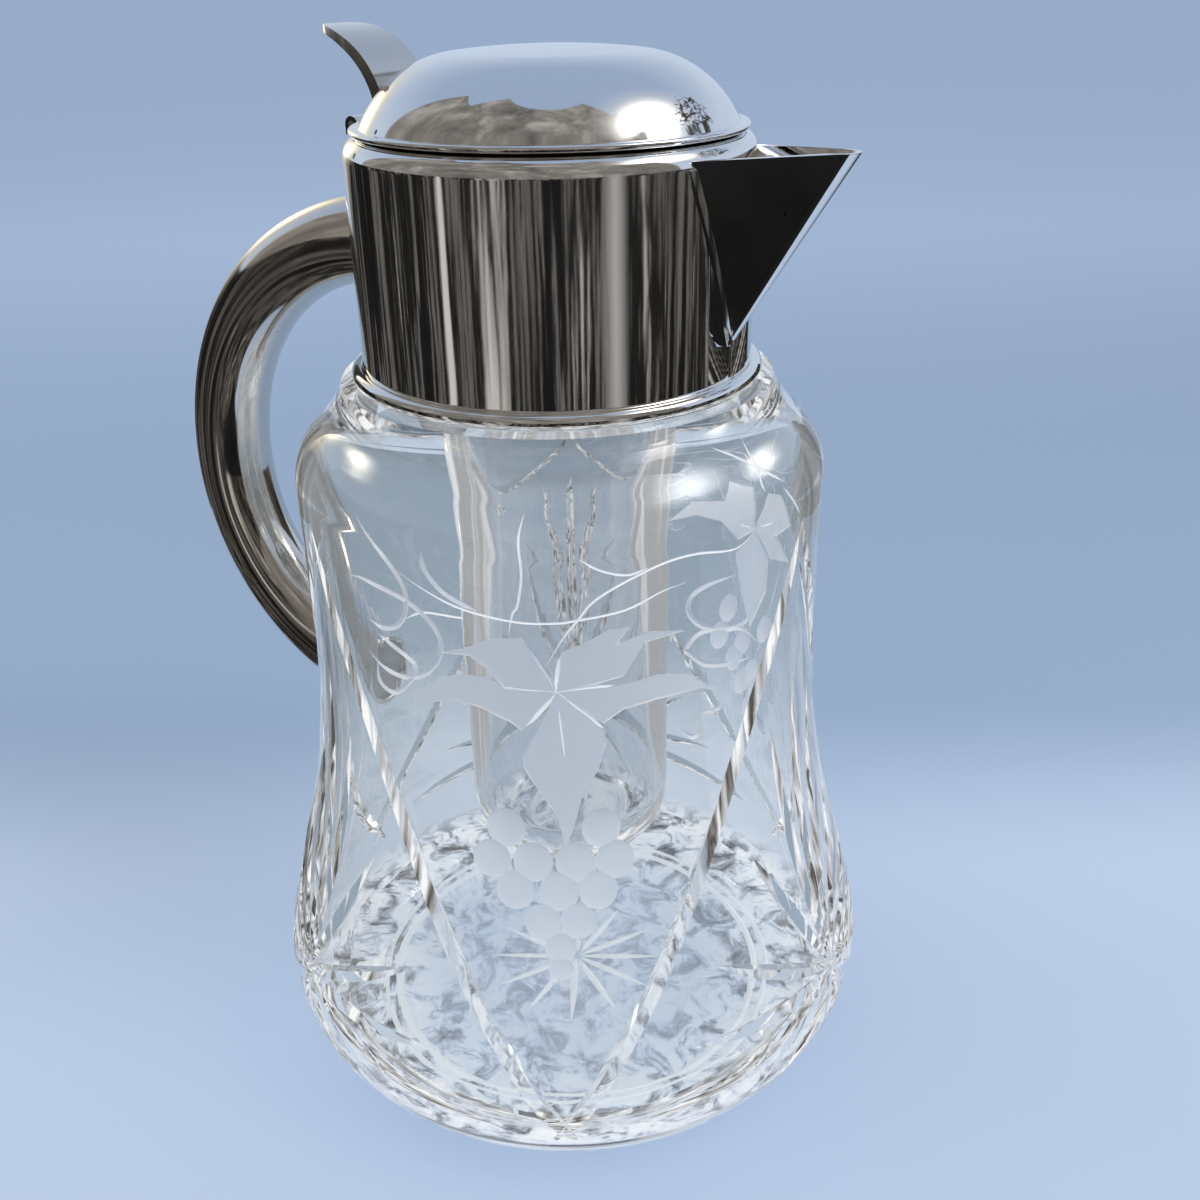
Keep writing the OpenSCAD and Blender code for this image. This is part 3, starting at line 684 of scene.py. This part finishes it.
MATT_TENDRILS = [
    [(-40.6, 171.6), (-33.8, 165.2), (-30.3, 161), (-28.8, 157), (-29.5, 152), (-32, 148.4), (-36, 147),
     (-39.3, 148)],
    [(-43.6, 157), (-39.6, 157.5), (-30.3, 156), (-25, 153), (-22, 148.7), (-22, 144.4), (-24.3, 140),
     (-28, 137), (-32.3, 136), (-37, 137), (-40.4, 139.4)],
    [(37.6, 158.4), (30.6, 158), (27, 156), (27, 152), (30.4, 148), (36, 145.6), (41, 146), (45.4, 150.5)],
    [(43, 136), (37.4, 136.6), (31, 138.6), (27, 142.6), (26.4, 144), (29.5, 147), (36, 146), (41, 143.5),
     (45, 138.4)],
    [(35.5, 127), (34, 126), (30.5, 126), (30, 122), (28, 121), (25, 124)],
    [(-38, 138.6), (-38, 132.5), (-34, 131), (-30, 135), (-28, 139), (-29, 141), (-34, 143.6), (-37, 145)],
    [(-24.4, 168), (-24, 164), (-21, 160), (-18, 158), (-13.6, 156)],
]
BRIGHT_TENDRILS = [
    [(-30, 162), (-24, 159), (-18, 156.5), (-11.6, 155), (-5, 154), (1.7, 154), (5, 154.5), (14, 156),
     (21, 159), (26, 160)],
    [(-1, 144), (2, 150), (5, 154.5), (8.4, 159), (15, 163), (22, 165.6), (28.6, 166), (37.3, 164.6),
     (42.6, 167.2)],
    [(5.5, 168.3), (9.4, 165.6), (14.2, 164), (18.4, 165)],
    [(-29.5, 151), (-25, 153.7), (-18, 154), (-16.5, 154)],
    [(-4.5, 177), (-5.4, 172.5), (-5, 165), (-6, 158), (-7, 156), (-8, 151)],
    [(39, 184), (44.7, 181), (50, 177), (54, 174)],
    [(49, 183.5), (48.4, 179), (47, 176), (47, 174)],
    [(53, 173), (55, 170), (58.5, 165)],
]
GRAPE_DEPTH = 0.6
OVAL_GRAPE = (2.7, 3.4, 0.45)
MATT_LINE = 1.3
BRIGHT_LINE = 0.55
VEIN_WIDTH = 1.5
VEIN_STEPS = 8


def vine(shift):
    """One vine: its matt cuts and its bright ones."""
    matt, bright = [], []
    for heart, lobes in ((LEAF_HEART, LEAF_LOBES), (SMALL_LEAF_HEART, SMALL_LEAF_LOBES)):
        for i, lobe in enumerate(lobes):
            matt.append(engraved_patch([heart] + lobe, shift, 0.45 + 0.07 * (i % 3)))
    for turn, z, radius in GRAPES:
        matt.append(lens(shift + turn, z, radius, radius, GRAPE_DEPTH))
    for turn, z in OVAL_GRAPES:
        matt.append(lens(shift + turn, z, *OVAL_GRAPE))
    for tendrils, width, tip, done in ((MATT_TENDRILS, MATT_LINE, 0.15, matt),
                                       (BRIGHT_TENDRILS, BRIGHT_LINE, 0.2, bright)):
        for points in tendrils:
            path = [(shift + turn, z) for turn, z in smooth_path(points)]
            done.append(swept_cut(tapered(path, width, tip), mitre, on_side))
    for heart, veins in ((LEAF_HEART, LEAF_VEINS), (SMALL_LEAF_HEART, SMALL_LEAF_VEINS)):
        for tip in veins:
            path = [(shift + heart[0] + (tip[0] - heart[0]) * i / VEIN_STEPS,
                     heart[1] + (tip[1] - heart[1]) * i / VEIN_STEPS) for i in range(VEIN_STEPS + 1)]
            bright.append(swept_cut(tapered(path, VEIN_WIDTH, 0.3), mitre, on_side))
    return matt, bright


GLASS_IOR = 1.52
SHADE_TINT = (0.92, 0.94, 0.96)
MOST_BOUNCES = 2.5
MOST_DEPTH = 9.5


def glass(name, tint, roughness, clear=1, waves=None, upright=20, darkest_sparkle=(0.10, 0.095, 0.09)):
    """Glass that lets lamp light and soft light straight through.  Where rays are caught in it by
    many bounces it gives out painted sparkle, streaks of dark and white light of its own.  Waves are its
    slight unevenness: how fine and how high."""
    material, tree = new_material(name)
    place = add_node(tree, "TexCoord")
    looks = {"Base Color": (*tint, 1), "Roughness": roughness, "IOR": GLASS_IOR,
             "Transmission Weight": clear}
    if waves:
        swell = add_node(tree, "TexNoise", {"Vector": (place, "Object"), "Scale": waves[0], "Detail": 2})
        bump = add_node(tree, "Bump", {"Height": (swell, "Fac"), "Distance": waves[1]})
        looks["Normal"] = (bump, "Normal")
    surface = add_node(tree, "BsdfPrincipled", looks)
    # Painted sparkle: the glass gives out its own light in streaks of dark and white where rays are caught.
    draw_out = add_node(tree, "Mapping", {"Vector": (place, "Object"), "Scale": (190, 190, upright)})
    grain = add_node(tree, "TexNoise", {"Vector": (draw_out, "Vector"), "Scale": 1, "Detail": 3,
                                        "Distortion": 0.5})
    tone = ramp(tree, (grain, "Fac"), [(0.36, darkest_sparkle), (0.46, (0.46, 0.45, 0.435)),
                                       (0.52, (0.60, 0.64, 0.70)), (0.62, (1, 1, 1))])
    painted_sparkle = add_node(tree, "Emission", {"Color": (tone, "Color")})
    path = add_node(tree, "LightPath")
    bounced = add_node(tree, "Math", {0: (path, "Glossy Depth"), 1: MOST_BOUNCES},
                       operation="GREATER_THAN")
    deep = add_node(tree, "Math", {0: (path, "Ray Depth"), 1: MOST_DEPTH}, operation="GREATER_THAN")
    caught = add_node(tree, "Math", {0: (bounced, "Value"), 1: (deep, "Value")}, operation="MAXIMUM")
    keep = add_node(tree, "MixShader", {"Fac": (caught, "Value"), 1: (surface, "BSDF"),
                                        2: (painted_sparkle, "Emission")})
    soft = add_node(tree, "Math", {0: (path, "Is Shadow Ray"), 1: (path, "Is Diffuse Ray")},
                    operation="MAXIMUM")
    through = add_node(tree, "BsdfTransparent", {"Color": (*SHADE_TINT, 1)})
    choose = add_node(tree, "MixShader", {"Fac": (soft, "Value"), 1: (keep, "Shader"),
                                          2: (through, "BSDF")})
    add_node(tree, "OutputMaterial", {"Surface": (choose, "Shader")})
    return material


# The bright cuts are the star, its two rings and the fine lines of the vine.  Their glass is mostly white
# and diffuse: a painted glint in place of the light that a polished cut catches.
polished_glass = glass("polished_glass", (0.975, 0.975, 0.968), 0, 1, (32, 0.00003))
matt_glass = glass("matt_glass", (0.90, 0.92, 0.94), 0.45, 0.6, (2500, 0.00003))
painted_glint_cut = glass("painted_glint_cut", (1, 1, 1), 0.15, 0.15)


def carve(bm, name, materials, cuts):
    """A piece with every cut taken out.  Each cut is a solid and the number of its finish."""
    body = new_object(name, to_mesh(bm, name, materials))
    tools = bpy.data.collections.new("cuts")
    bpy.context.scene.collection.children.link(tools)
    for cut, finish in cuts:
        tool = bpy.data.objects.new("cut", to_mesh(cut, "cut", [materials[finish]]))
        tools.objects.link(tool)
    carving = body.modifiers.new("carving", "BOOLEAN")
    carving.operation = "DIFFERENCE"
    carving.operand_type = "COLLECTION"
    carving.collection = tools
    carving.solver = "MANIFOLD"
    carving.material_mode = "TRANSFER"
    carved = bpy.data.meshes.new_from_object(body.evaluated_get(bpy.context.evaluated_depsgraph_get()))
    body.modifiers.clear()
    body.data = carved
    for tool in list(tools.objects):
        bpy.data.meshes.remove(tool.data)
    bpy.data.collections.remove(tools)
    return body


POLISHED, MATT, BRIGHT = range(3)
PANEL_TURN = 120
CUT_EDGE = 14

cuts = [(cut, POLISHED) for cut in zigzag() + fans()]
cuts += [(cut, BRIGHT) for cut in base_star() + base_rings()]
for shift in (0, PANEL_TURN):
    matt, bright = vine(shift)
    cuts += [(cut, MATT) for cut in matt] + [(cut, BRIGHT) for cut in bright]
cut_glass = carve(body_bm, "cut_glass_body", [polished_glass, matt_glass, painted_glint_cut], cuts)
cut_glass.data.shade_smooth()
cut_glass.data.set_sharp_from_angle(angle=math.radians(CUT_EDGE))
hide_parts("glass_body")
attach(cut_glass, "jug")


# ---- Plaster bed --------------------------------------------------------------------------
# Plaster of Paris between the neck of the glass and the band, poured in when the jug was put
# together.
def plaster():
    material, tree = new_material("plaster")
    place = add_node(tree, "TexCoord")
    grain = add_node(tree, "TexNoise", {"Vector": (place, "Object"), "Scale": 600})
    tone = ramp(tree, (grain, "Fac"), [(0.35, (0.62, 0.60, 0.55)), (0.65, (0.80, 0.79, 0.75))])
    surface = add_node(tree, "BsdfPrincipled", {"Base Color": (tone, "Color"), "Roughness": 0.85})
    add_node(tree, "OutputMaterial", {"Surface": (surface, "BSDF")})
    return material


def refinish(node, material):
    """Gives a CAD node that stays its material."""
    mesh = frame["nodes"][node].data
    for i in range(len(mesh.materials)):
        mesh.materials[i] = material


refinish("plaster_bed", plaster())


# ---- Collar band --------------------------------------------------------------------------
# A tube of silver-plated brass round the neck, with a triangular hole behind the lip for the
# drink.  It is polished, a little dented, and tarnished in specks.
BAND_R = 46
BAND_IN = 44.8
BAND_FOOT = 189.5
BAND_TOP = 239.3
HOLE_FOOT = 207.4
HOLE_TOP = 231.5
HOLE_HALF = 9.3
TARNISH = (0.10, 0.08, 0.06)


def silver(name, colour, rough_low, rough_high, dents):
    """Plated metal: hair scratches, shallow dents, and specks of tarnish."""
    material, tree = new_material(name)
    place = add_node(tree, "TexCoord")
    speck = add_node(tree, "TexVoronoi", {"Vector": (place, "Object"), "Scale": 210})
    where = add_node(tree, "TexNoise", {"Vector": (place, "Object"), "Scale": 38, "Detail": 3})
    size = add_node(tree, "MapRange", {"Value": (where, "Fac"), "From Min": 0.55, "From Max": 0.75,
                                       "To Max": 0.22})
    inside = add_node(tree, "Math", {0: (speck, "Distance"), 1: (size, "Result")}, operation="LESS_THAN")
    tint = add_node(tree, "MixRGB", {"Fac": (inside, "Value"), "Color1": (*colour, 1),
                                     "Color2": (*TARNISH, 1)})
    haze = add_node(tree, "TexNoise", {"Vector": (place, "Object"), "Scale": 24, "Detail": 8,
                                       "Roughness": 0.7})
    gloss = add_node(tree, "MapRange", {"Value": (haze, "Fac"), "From Min": 0.35, "From Max": 0.7,
                                        "To Min": rough_low, "To Max": rough_high})
    dent = add_node(tree, "TexNoise", {"Vector": (place, "Object"), "Scale": 42, "Detail": 1})
    push = add_node(tree, "Bump", {"Height": (dent, "Fac"), "Distance": dents})
    drag = add_node(tree, "Mapping", {"Vector": (place, "Object"), "Scale": (900, 900, 90)})
    scratch = add_node(tree, "TexNoise", {"Vector": (drag, "Vector"), "Scale": 1, "Detail": 4})
    rub = add_node(tree, "Bump", {"Height": (scratch, "Fac"), "Normal": (push, "Normal"),
                                  "Distance": 0.000002})
    surface = add_node(tree, "BsdfPrincipled", {"Base Color": (tint, "Color"), "Metallic": 1,
                                                "Roughness": (gloss, "Result"),
                                                "Normal": (rub, "Normal")})
    add_node(tree, "OutputMaterial", {"Surface": (surface, "BSDF")})
    return material


plate = silver("silver_plate", (0.84, 0.83, 0.81), 0.02, 0.09, 0.00007)
dull_plate = silver("dull_silver", (0.60, 0.58, 0.54), 0.25, 0.45, 0.00005)


def stands_for(piece, node, body="jug"):
    """The piece takes the place of a CAD node, which is hidden, and joins the body given."""
    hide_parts(node)
    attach(piece, body)


def in_place_of(node, name, bm, material, body="jug"):
    """Makes the piece that takes the place of a CAD node."""
    stands_for(new_object(name, to_mesh(bm, name, [material])), node, body)


def prism(points, way):
    """A solid from a flat outline, drawn out along way."""
    bm = bmesh.new()
    face = bm.faces.new([bm.verts.new(point) for point in points])
    far = bmesh.ops.extrude_face_region(bm, geom=[face])["geom"]
    bmesh.ops.translate(bm, vec=way, verts=[item for item in far if isinstance(item, bmesh.types.BMVert)])
    bmesh.ops.recalc_face_normals(bm, faces=bm.faces)
    return bm


def hoop(inner, outer, low, high, segments=192):
    """A flat-sided ring on the jug's axis."""
    return turned(inner, low, [(outer, low), (outer, high), (inner, high), (inner, low)],
                  segments=segments)


band = hoop(BAND_IN, BAND_R, BAND_FOOT, BAND_TOP, 256)
hole = prism([(30, 0, HOLE_FOOT), (30, HOLE_HALF, HOLE_TOP), (30, -HOLE_HALF, HOLE_TOP)], (30, 0, 0))
stands_for(carve(band, "plated_band", [plate], [(hole, 0)]), "collar_band")


# ---- Rings of the mount -------------------------------------------------------------------
# A round wire soldered round the foot of the band, the rounded ring that closes its top, and the
# plain seat inside it that the ice tube hangs on.
WIRE_R = 1.9
WIRE_X = 46.8
WIRE_Z = 191.4
RIM_ROUND = 4.2
RIM_TOP = 243.5
RIM_IN = 38.8
RIM_FOOT = 236.3
SEAT_IN = 33.3
SEAT_Z = 232.5
SHEET = 1.2

wire = turned(WIRE_X + WIRE_R, WIRE_Z, [(WIRE_X, WIRE_Z, 180), (WIRE_X, WIRE_Z, 180)], 0.5)
in_place_of("collar_foot_ring", "plated_wire", wire, plate)
rim = turned(RIM_IN, RIM_FOOT, [(BAND_IN, RIM_FOOT), (BAND_IN, BAND_TOP), (BAND_R, BAND_TOP),
                                (BAND_R - RIM_ROUND, BAND_TOP, 90), (RIM_IN, RIM_TOP),
                                (RIM_IN, RIM_FOOT)], 0.5)
in_place_of("collar_rim", "plated_rim", rim, plate)
seat = hoop(SEAT_IN, BAND_IN, SEAT_Z, SEAT_Z + SHEET)
in_place_of("ice_tube_seat", "inner_seat", seat, dull_plate)


# ---- Pouring lip --------------------------------------------------------------------------
# One sheet folded to a V with a rounded keel, open on top, and soldered to the band along a
# narrow flange.
LIP_FOOT = 201.2
LIP_TOP = 240.9
LIP_CORNER = (43.4, 15.3)
LIP_TIP_X = 68.3
LIP_TIP_LIFT = 1.5
KEEL_TOP_R = 4.2
KEEL_FOOT_R = 1.4
LIP_SHEET = 1.1
LIP_SLICE = 0.1
FLANGE_WIDE = 1.5
FLANGE_THICK = 0.6
BELOW_LIP = 150
ABOVE_LIP = 260
BEYOND_LIP = 90


def lip_form(shrink, over):
    """The outer form of the lip, made smaller all round and carried on above its top edge."""
    bm = bmesh.new()
    tip_top = LIP_TOP + LIP_TIP_LIFT
    for x, low, high, radius in (
            (BAND_R - KEEL_FOOT_R, LIP_FOOT, LIP_FOOT + LIP_SLICE, KEEL_FOOT_R - 0.75 * shrink),
            (LIP_TIP_X, tip_top - LIP_SLICE, tip_top + over, KEEL_TOP_R - shrink)):
        for height in (low, high):
            bmesh.ops.create_circle(bm, segments=64, radius=radius,
                                    matrix=Matrix.Translation((x, 0, height)))
    for side in (-1, 1):
        for height in (LIP_TOP - LIP_SLICE, LIP_TOP + over):
            bm.verts.new((LIP_CORNER[0], side * (LIP_CORNER[1] - shrink), height))
    bmesh.ops.delete(bm, geom=bm.edges[:], context="EDGES_FACES")
    hull = bmesh.ops.convex_hull(bm, input=bm.verts[:])
    spare = [item for item in hull["geom_interior"] + hull["geom_unused"]
             if isinstance(item, bmesh.types.BMVert)]
    bmesh.ops.delete(bm, geom=list(set(spare)), context="VERTS")
    bmesh.ops.recalc_face_normals(bm, faces=bm.faces)
    return bm


def drum(radius, low, high):
    """A solid round drum on the jug's axis."""
    return turned(0, low, [(radius, low), (radius, high), (0, high)], segments=256)


def crisp(piece, width, angle=35):
    """Breaks the sharp edges of a sheet-metal piece, and keeps its flats flat to the light."""
    edges = piece.modifiers.new("broken_edges", "BEVEL")
    edges.width = width * MM
    edges.segments = 2
    edges.limit_method = "ANGLE"
    edges.angle_limit = math.radians(angle)
    flats = piece.modifiers.new("flats", "WEIGHTED_NORMAL")
    flats.keep_sharp = True


band_room = drum(BAND_R, BELOW_LIP, ABOVE_LIP)
lip = carve(lip_form(0, 0), "lip_sheet", [plate], [(lip_form(LIP_SHEET, 1), 0), (band_room, 0)])
crisp(lip, 0.2)
stands_for(lip, "spout")
solder = carve(lip_form(-FLANGE_WIDE, 0), "lip_flange", [plate], [
    (lip_form(0, 1), 0), (drum(BAND_R - 0.1, BELOW_LIP, BAND_TOP), 0),
    (drum(BEYOND_LIP, BAND_TOP, ABOVE_LIP), 0),
    (hoop(BAND_R + FLANGE_THICK, BEYOND_LIP, BELOW_LIP, ABOVE_LIP, 256), 0)])
crisp(solder, 0.15)
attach(solder, "jug")


# ---- Handle -------------------------------------------------------------------------------
# One bent tube, soldered to the band at the top.  Its lower end stands free, close to the glass,
# and a plate set a little way in closes it.  Its plating is a darker, warmer tone than the band's.
HANDLE_R = 10.7
HANDLE_X = 117.9
HANDLE_Z = 145.1
BEND_TOP = 70.7
BEND_LOW = 59
HANDLE_END_X = 71.8

tube = bmesh.new()
ring = bmesh.ops.create_circle(tube, segments=72, radius=HANDLE_R,
                               matrix=Matrix.Translation((-HANDLE_X, 0, HANDLE_Z)))["verts"]
ring_edges = tube.edges[:]
for radius, degrees, steps in ((BEND_TOP, 102, 64), (BEND_LOW, -86, 54)):
    bmesh.ops.spin(tube, geom=ring + ring_edges, cent=(radius - HANDLE_X, 0, HANDLE_Z), axis=(0, 1, 0),
                   angle=math.radians(degrees), steps=steps)
bmesh.ops.remove_doubles(tube, verts=tube.verts, dist=0.001)
bmesh.ops.recalc_face_normals(tube, faces=tube.faces)
bmesh.ops.solidify(tube, geom=tube.faces[:], thickness=SHEET)
bmesh.ops.recalc_face_normals(tube, faces=tube.faces)
open_end = prism([(-HANDLE_END_X, -40, 20), (-HANDLE_END_X, 40, 20), (0, 40, 20), (0, -40, 20)],
                 (0, 0, 160))
# The handle and thumb-piece are a darker, warmer plate than the band.
darker_warm_plate = silver("darker_warm_plate", (0.72, 0.68, 0.62), 0.05, 0.17, 0.0001)
# The end plate is dark with painted shade, for its place inside the open end of the tube, as well as specks
# of tarnish.
shade_and_tarnish_plate = silver("shade_and_tarnish_silver", (0.40, 0.38, 0.35), 0.3, 0.5, 0.00005)
band_room = drum(BAND_R - 0.05, BAND_FOOT - 5, ABOVE_LIP)
handle = carve(tube, "handle_tube", [darker_warm_plate], [(band_room, 0), (open_end, 0)])
stands_for(handle, "handle")
refinish("handle_end_plate", shade_and_tarnish_plate)


# ---- Lid ----------------------------------------------------------------------------------
# A pressed dome with a nearly flat crown, soldered to a flat rim.  A plain ring under it keeps
# the lid central in the mount.
DOME_R = 42
DOME_Z = 245.2
DOME_ROUND = 26.5
DOME_SLOPE = 60
CROWN_SLOPE = 6.4
SLOPE_L = 1.6
LID_R = 44.2
LID_RIM_Z = 243.8
LID_RIM_EDGE = 0.7
PLUG_R = 38.4
PLUG_Z = 240


def dome_side(thick):
    """Moves along the outside of the dome from its foot to its middle, thick inside its face."""
    slope, crown_turn = math.radians(DOME_SLOPE), math.radians(CROWN_SLOPE)
    start = (DOME_R - SLOPE_L * math.cos(slope), DOME_Z + SLOPE_L * math.sin(slope))
    centre = (start[0] - DOME_ROUND * math.sin(slope), start[1] - DOME_ROUND * math.cos(slope))
    end = (centre[0] + DOME_ROUND * math.sin(crown_turn), centre[1] + DOME_ROUND * math.cos(crown_turn))
    crown = end[0] / math.sin(crown_turn)
    start = (start[0] - thick * math.sin(slope), start[1] - thick * math.cos(slope))
    return [start, (*centre, DOME_SLOPE - CROWN_SLOPE), (0, end[1] - crown * math.cos(crown_turn),
                                                         CROWN_SLOPE)]


def backwards(x, z, moves):
    """The same outline drawn from its other end."""
    places = [(x, z)]
    for move in moves:
        if len(move) == 2:
            places.append(move)
        else:
            turn = Matrix.Rotation(math.radians(move[2]), 2)
            arm = turn @ Vector((places[-1][0] - move[0], places[-1][1] - move[1]))
            places.append((move[0] + arm.x, move[1] + arm.y))
    back = [places[i] if len(move) == 2 else (move[0], move[1], -move[2]) for i, move in enumerate(moves)]
    return places[-1], back[::-1]


inner_foot = (DOME_R - SHEET / math.sin(math.radians(DOME_SLOPE)), DOME_Z)
crown_in, inner_side = backwards(*inner_foot, dome_side(SHEET))
dome = turned(DOME_R, DOME_Z, dome_side(0) + [crown_in] + inner_side + [(DOME_R, DOME_Z)], 0.8, 224)
in_place_of("lid_dome", "dome_shell", dome, plate, "lid")
edge_x = LID_R - LID_RIM_EDGE
lid_rim = turned(PLUG_R, LID_RIM_Z, [(edge_x, LID_RIM_Z), (edge_x, LID_RIM_Z + LID_RIM_EDGE, 180),
                                     (PLUG_R, DOME_Z), (PLUG_R, LID_RIM_Z)], 0.2)
in_place_of("lid_rim", "lid_edge", lid_rim, plate, "lid")
plug = hoop(PLUG_R - SHEET, PLUG_R, PLUG_Z, DOME_Z)
in_place_of("lid_plug_ring", "centring_ring", plug, dull_plate, "lid")


# ---- Thumb-piece --------------------------------------------------------------------------
# A curled tongue with a rounded end, cast thicker at its root and soldered to the back of the
# dome.
CURL_X = -60.5
CURL_Z = 243.5
CURL_R = 21
TONGUE_T = 1.6
ROOT_EXTRA = 1.4
TONGUE_W = 17.5
TONGUE_END = 12
CURL_TURN = 94
TRIM_Z = 240
TRIM_TALL = 40
TRIM_HALF = 20
TRIM_BACK = -90

side = bmesh.new()
outline(side, CURL_X + CURL_R, CURL_Z, [
    (CURL_X, CURL_Z, CURL_TURN),
    (CURL_X - ROOT_EXTRA + (CURL_R - TONGUE_T) * math.cos(math.radians(CURL_TURN)),
     CURL_Z + (CURL_R - TONGUE_T) * math.sin(math.radians(CURL_TURN))),
    (CURL_X - ROOT_EXTRA, CURL_Z, -CURL_TURN)], 0.7)
tongue = prism([vert.co + Vector((0, -TONGUE_W / 2, 0)) for vert in side.verts], (0, TONGUE_W, 0))
side.free()
tip_x = CURL_X + CURL_R * math.cos(math.radians(CURL_TURN))
trim = bmesh.new()
bmesh.ops.create_circle(trim, segments=96, radius=1,
                        matrix=Matrix.Translation((tip_x + TONGUE_END, 0, TRIM_Z)) @
                        Matrix.Diagonal((TONGUE_END, TONGUE_W / 2, 1, 1)))
round_end = [vert.co.copy() for vert in trim.verts if vert.co.x < tip_x + TONGUE_END + 0.01]
trim.free()
round_end.sort(key=lambda place: place.y)
waste = prism(round_end + [Vector((x, y, TRIM_Z)) for x, y in (
    (round_end[-1].x, TRIM_HALF), (TRIM_BACK, TRIM_HALF), (TRIM_BACK, -TRIM_HALF),
    (round_end[0].x, -TRIM_HALF))], (0, 0, TRIM_TALL))
dome_solid = turned(0, 230, [(DOME_R, 230), (DOME_R, DOME_Z)] + dome_side(0), 0.8, 224)
thumb = carve(tongue, "thumb_tongue", [darker_warm_plate], [(waste, 0), (dome_solid, 0)])
crisp(thumb, 0.25)
stands_for(thumb, "thumb_piece", "lid")


# ---- Hinge --------------------------------------------------------------------------------
# Two knuckles on lugs at the back of the rim, one knuckle on a strap from the lid, and the pin
# through all three.
for node in ("hinge_bearer", "hinge_collar_knuckles", "hinge_lid_strap", "hinge_lid_knuckle"):
    refinish(node, plate)
refinish("hinge_pin", dull_plate)


# ---- Ice tube -----------------------------------------------------------------------------
# A plain blown tube with a rounded bottom, cemented into a plated ring whose flange hangs on the
# seat inside the band.
TUBE_R = 27
TUBE_WALL = 2.4
TUBE_FOOT = 56
TUBE_ROUND = 16
TUBE_FLOOR = 4
TUBE_TOP = 236
FLANGE_R = 35.8
FLANGE_Z = 234
ICE_RING_FOOT = 226.2

# The same glass, blown and drawn out into a tube.
plain_glass = glass("plain_glass", (0.84, 0.855, 0.87), 0, 1, (20, 0.00004), 4, (0.42, 0.43, 0.45))
lip_r = TUBE_WALL / 2
inner_round = TUBE_ROUND - TUBE_WALL
ice = turned(0, TUBE_FOOT, [
    (TUBE_R - TUBE_ROUND, TUBE_FOOT),
    (TUBE_R - TUBE_ROUND, TUBE_FOOT + TUBE_ROUND, 90),
    (TUBE_R, TUBE_TOP - lip_r),
    (TUBE_R - lip_r, TUBE_TOP - lip_r, 180),
    (TUBE_R - TUBE_WALL, TUBE_FOOT + TUBE_FLOOR + inner_round),
    (TUBE_R - TUBE_ROUND, TUBE_FOOT + TUBE_FLOOR + inner_round, -90),
    (0, TUBE_FOOT + TUBE_FLOOR)], 1.5, 160)
in_place_of("ice_tube", "ice_glass", ice, plain_glass, "ice_holder")
ice_ring = turned(TUBE_R, ICE_RING_FOOT, [
    (TUBE_R + SHEET, ICE_RING_FOOT), (TUBE_R + SHEET, FLANGE_Z), (FLANGE_R, FLANGE_Z),
    (FLANGE_R, FLANGE_Z + SHEET), (TUBE_R, FLANGE_Z + SHEET), (TUBE_R, ICE_RING_FOOT)])
in_place_of("ice_tube_ring", "ice_ring", ice_ring, plate, "ice_holder")
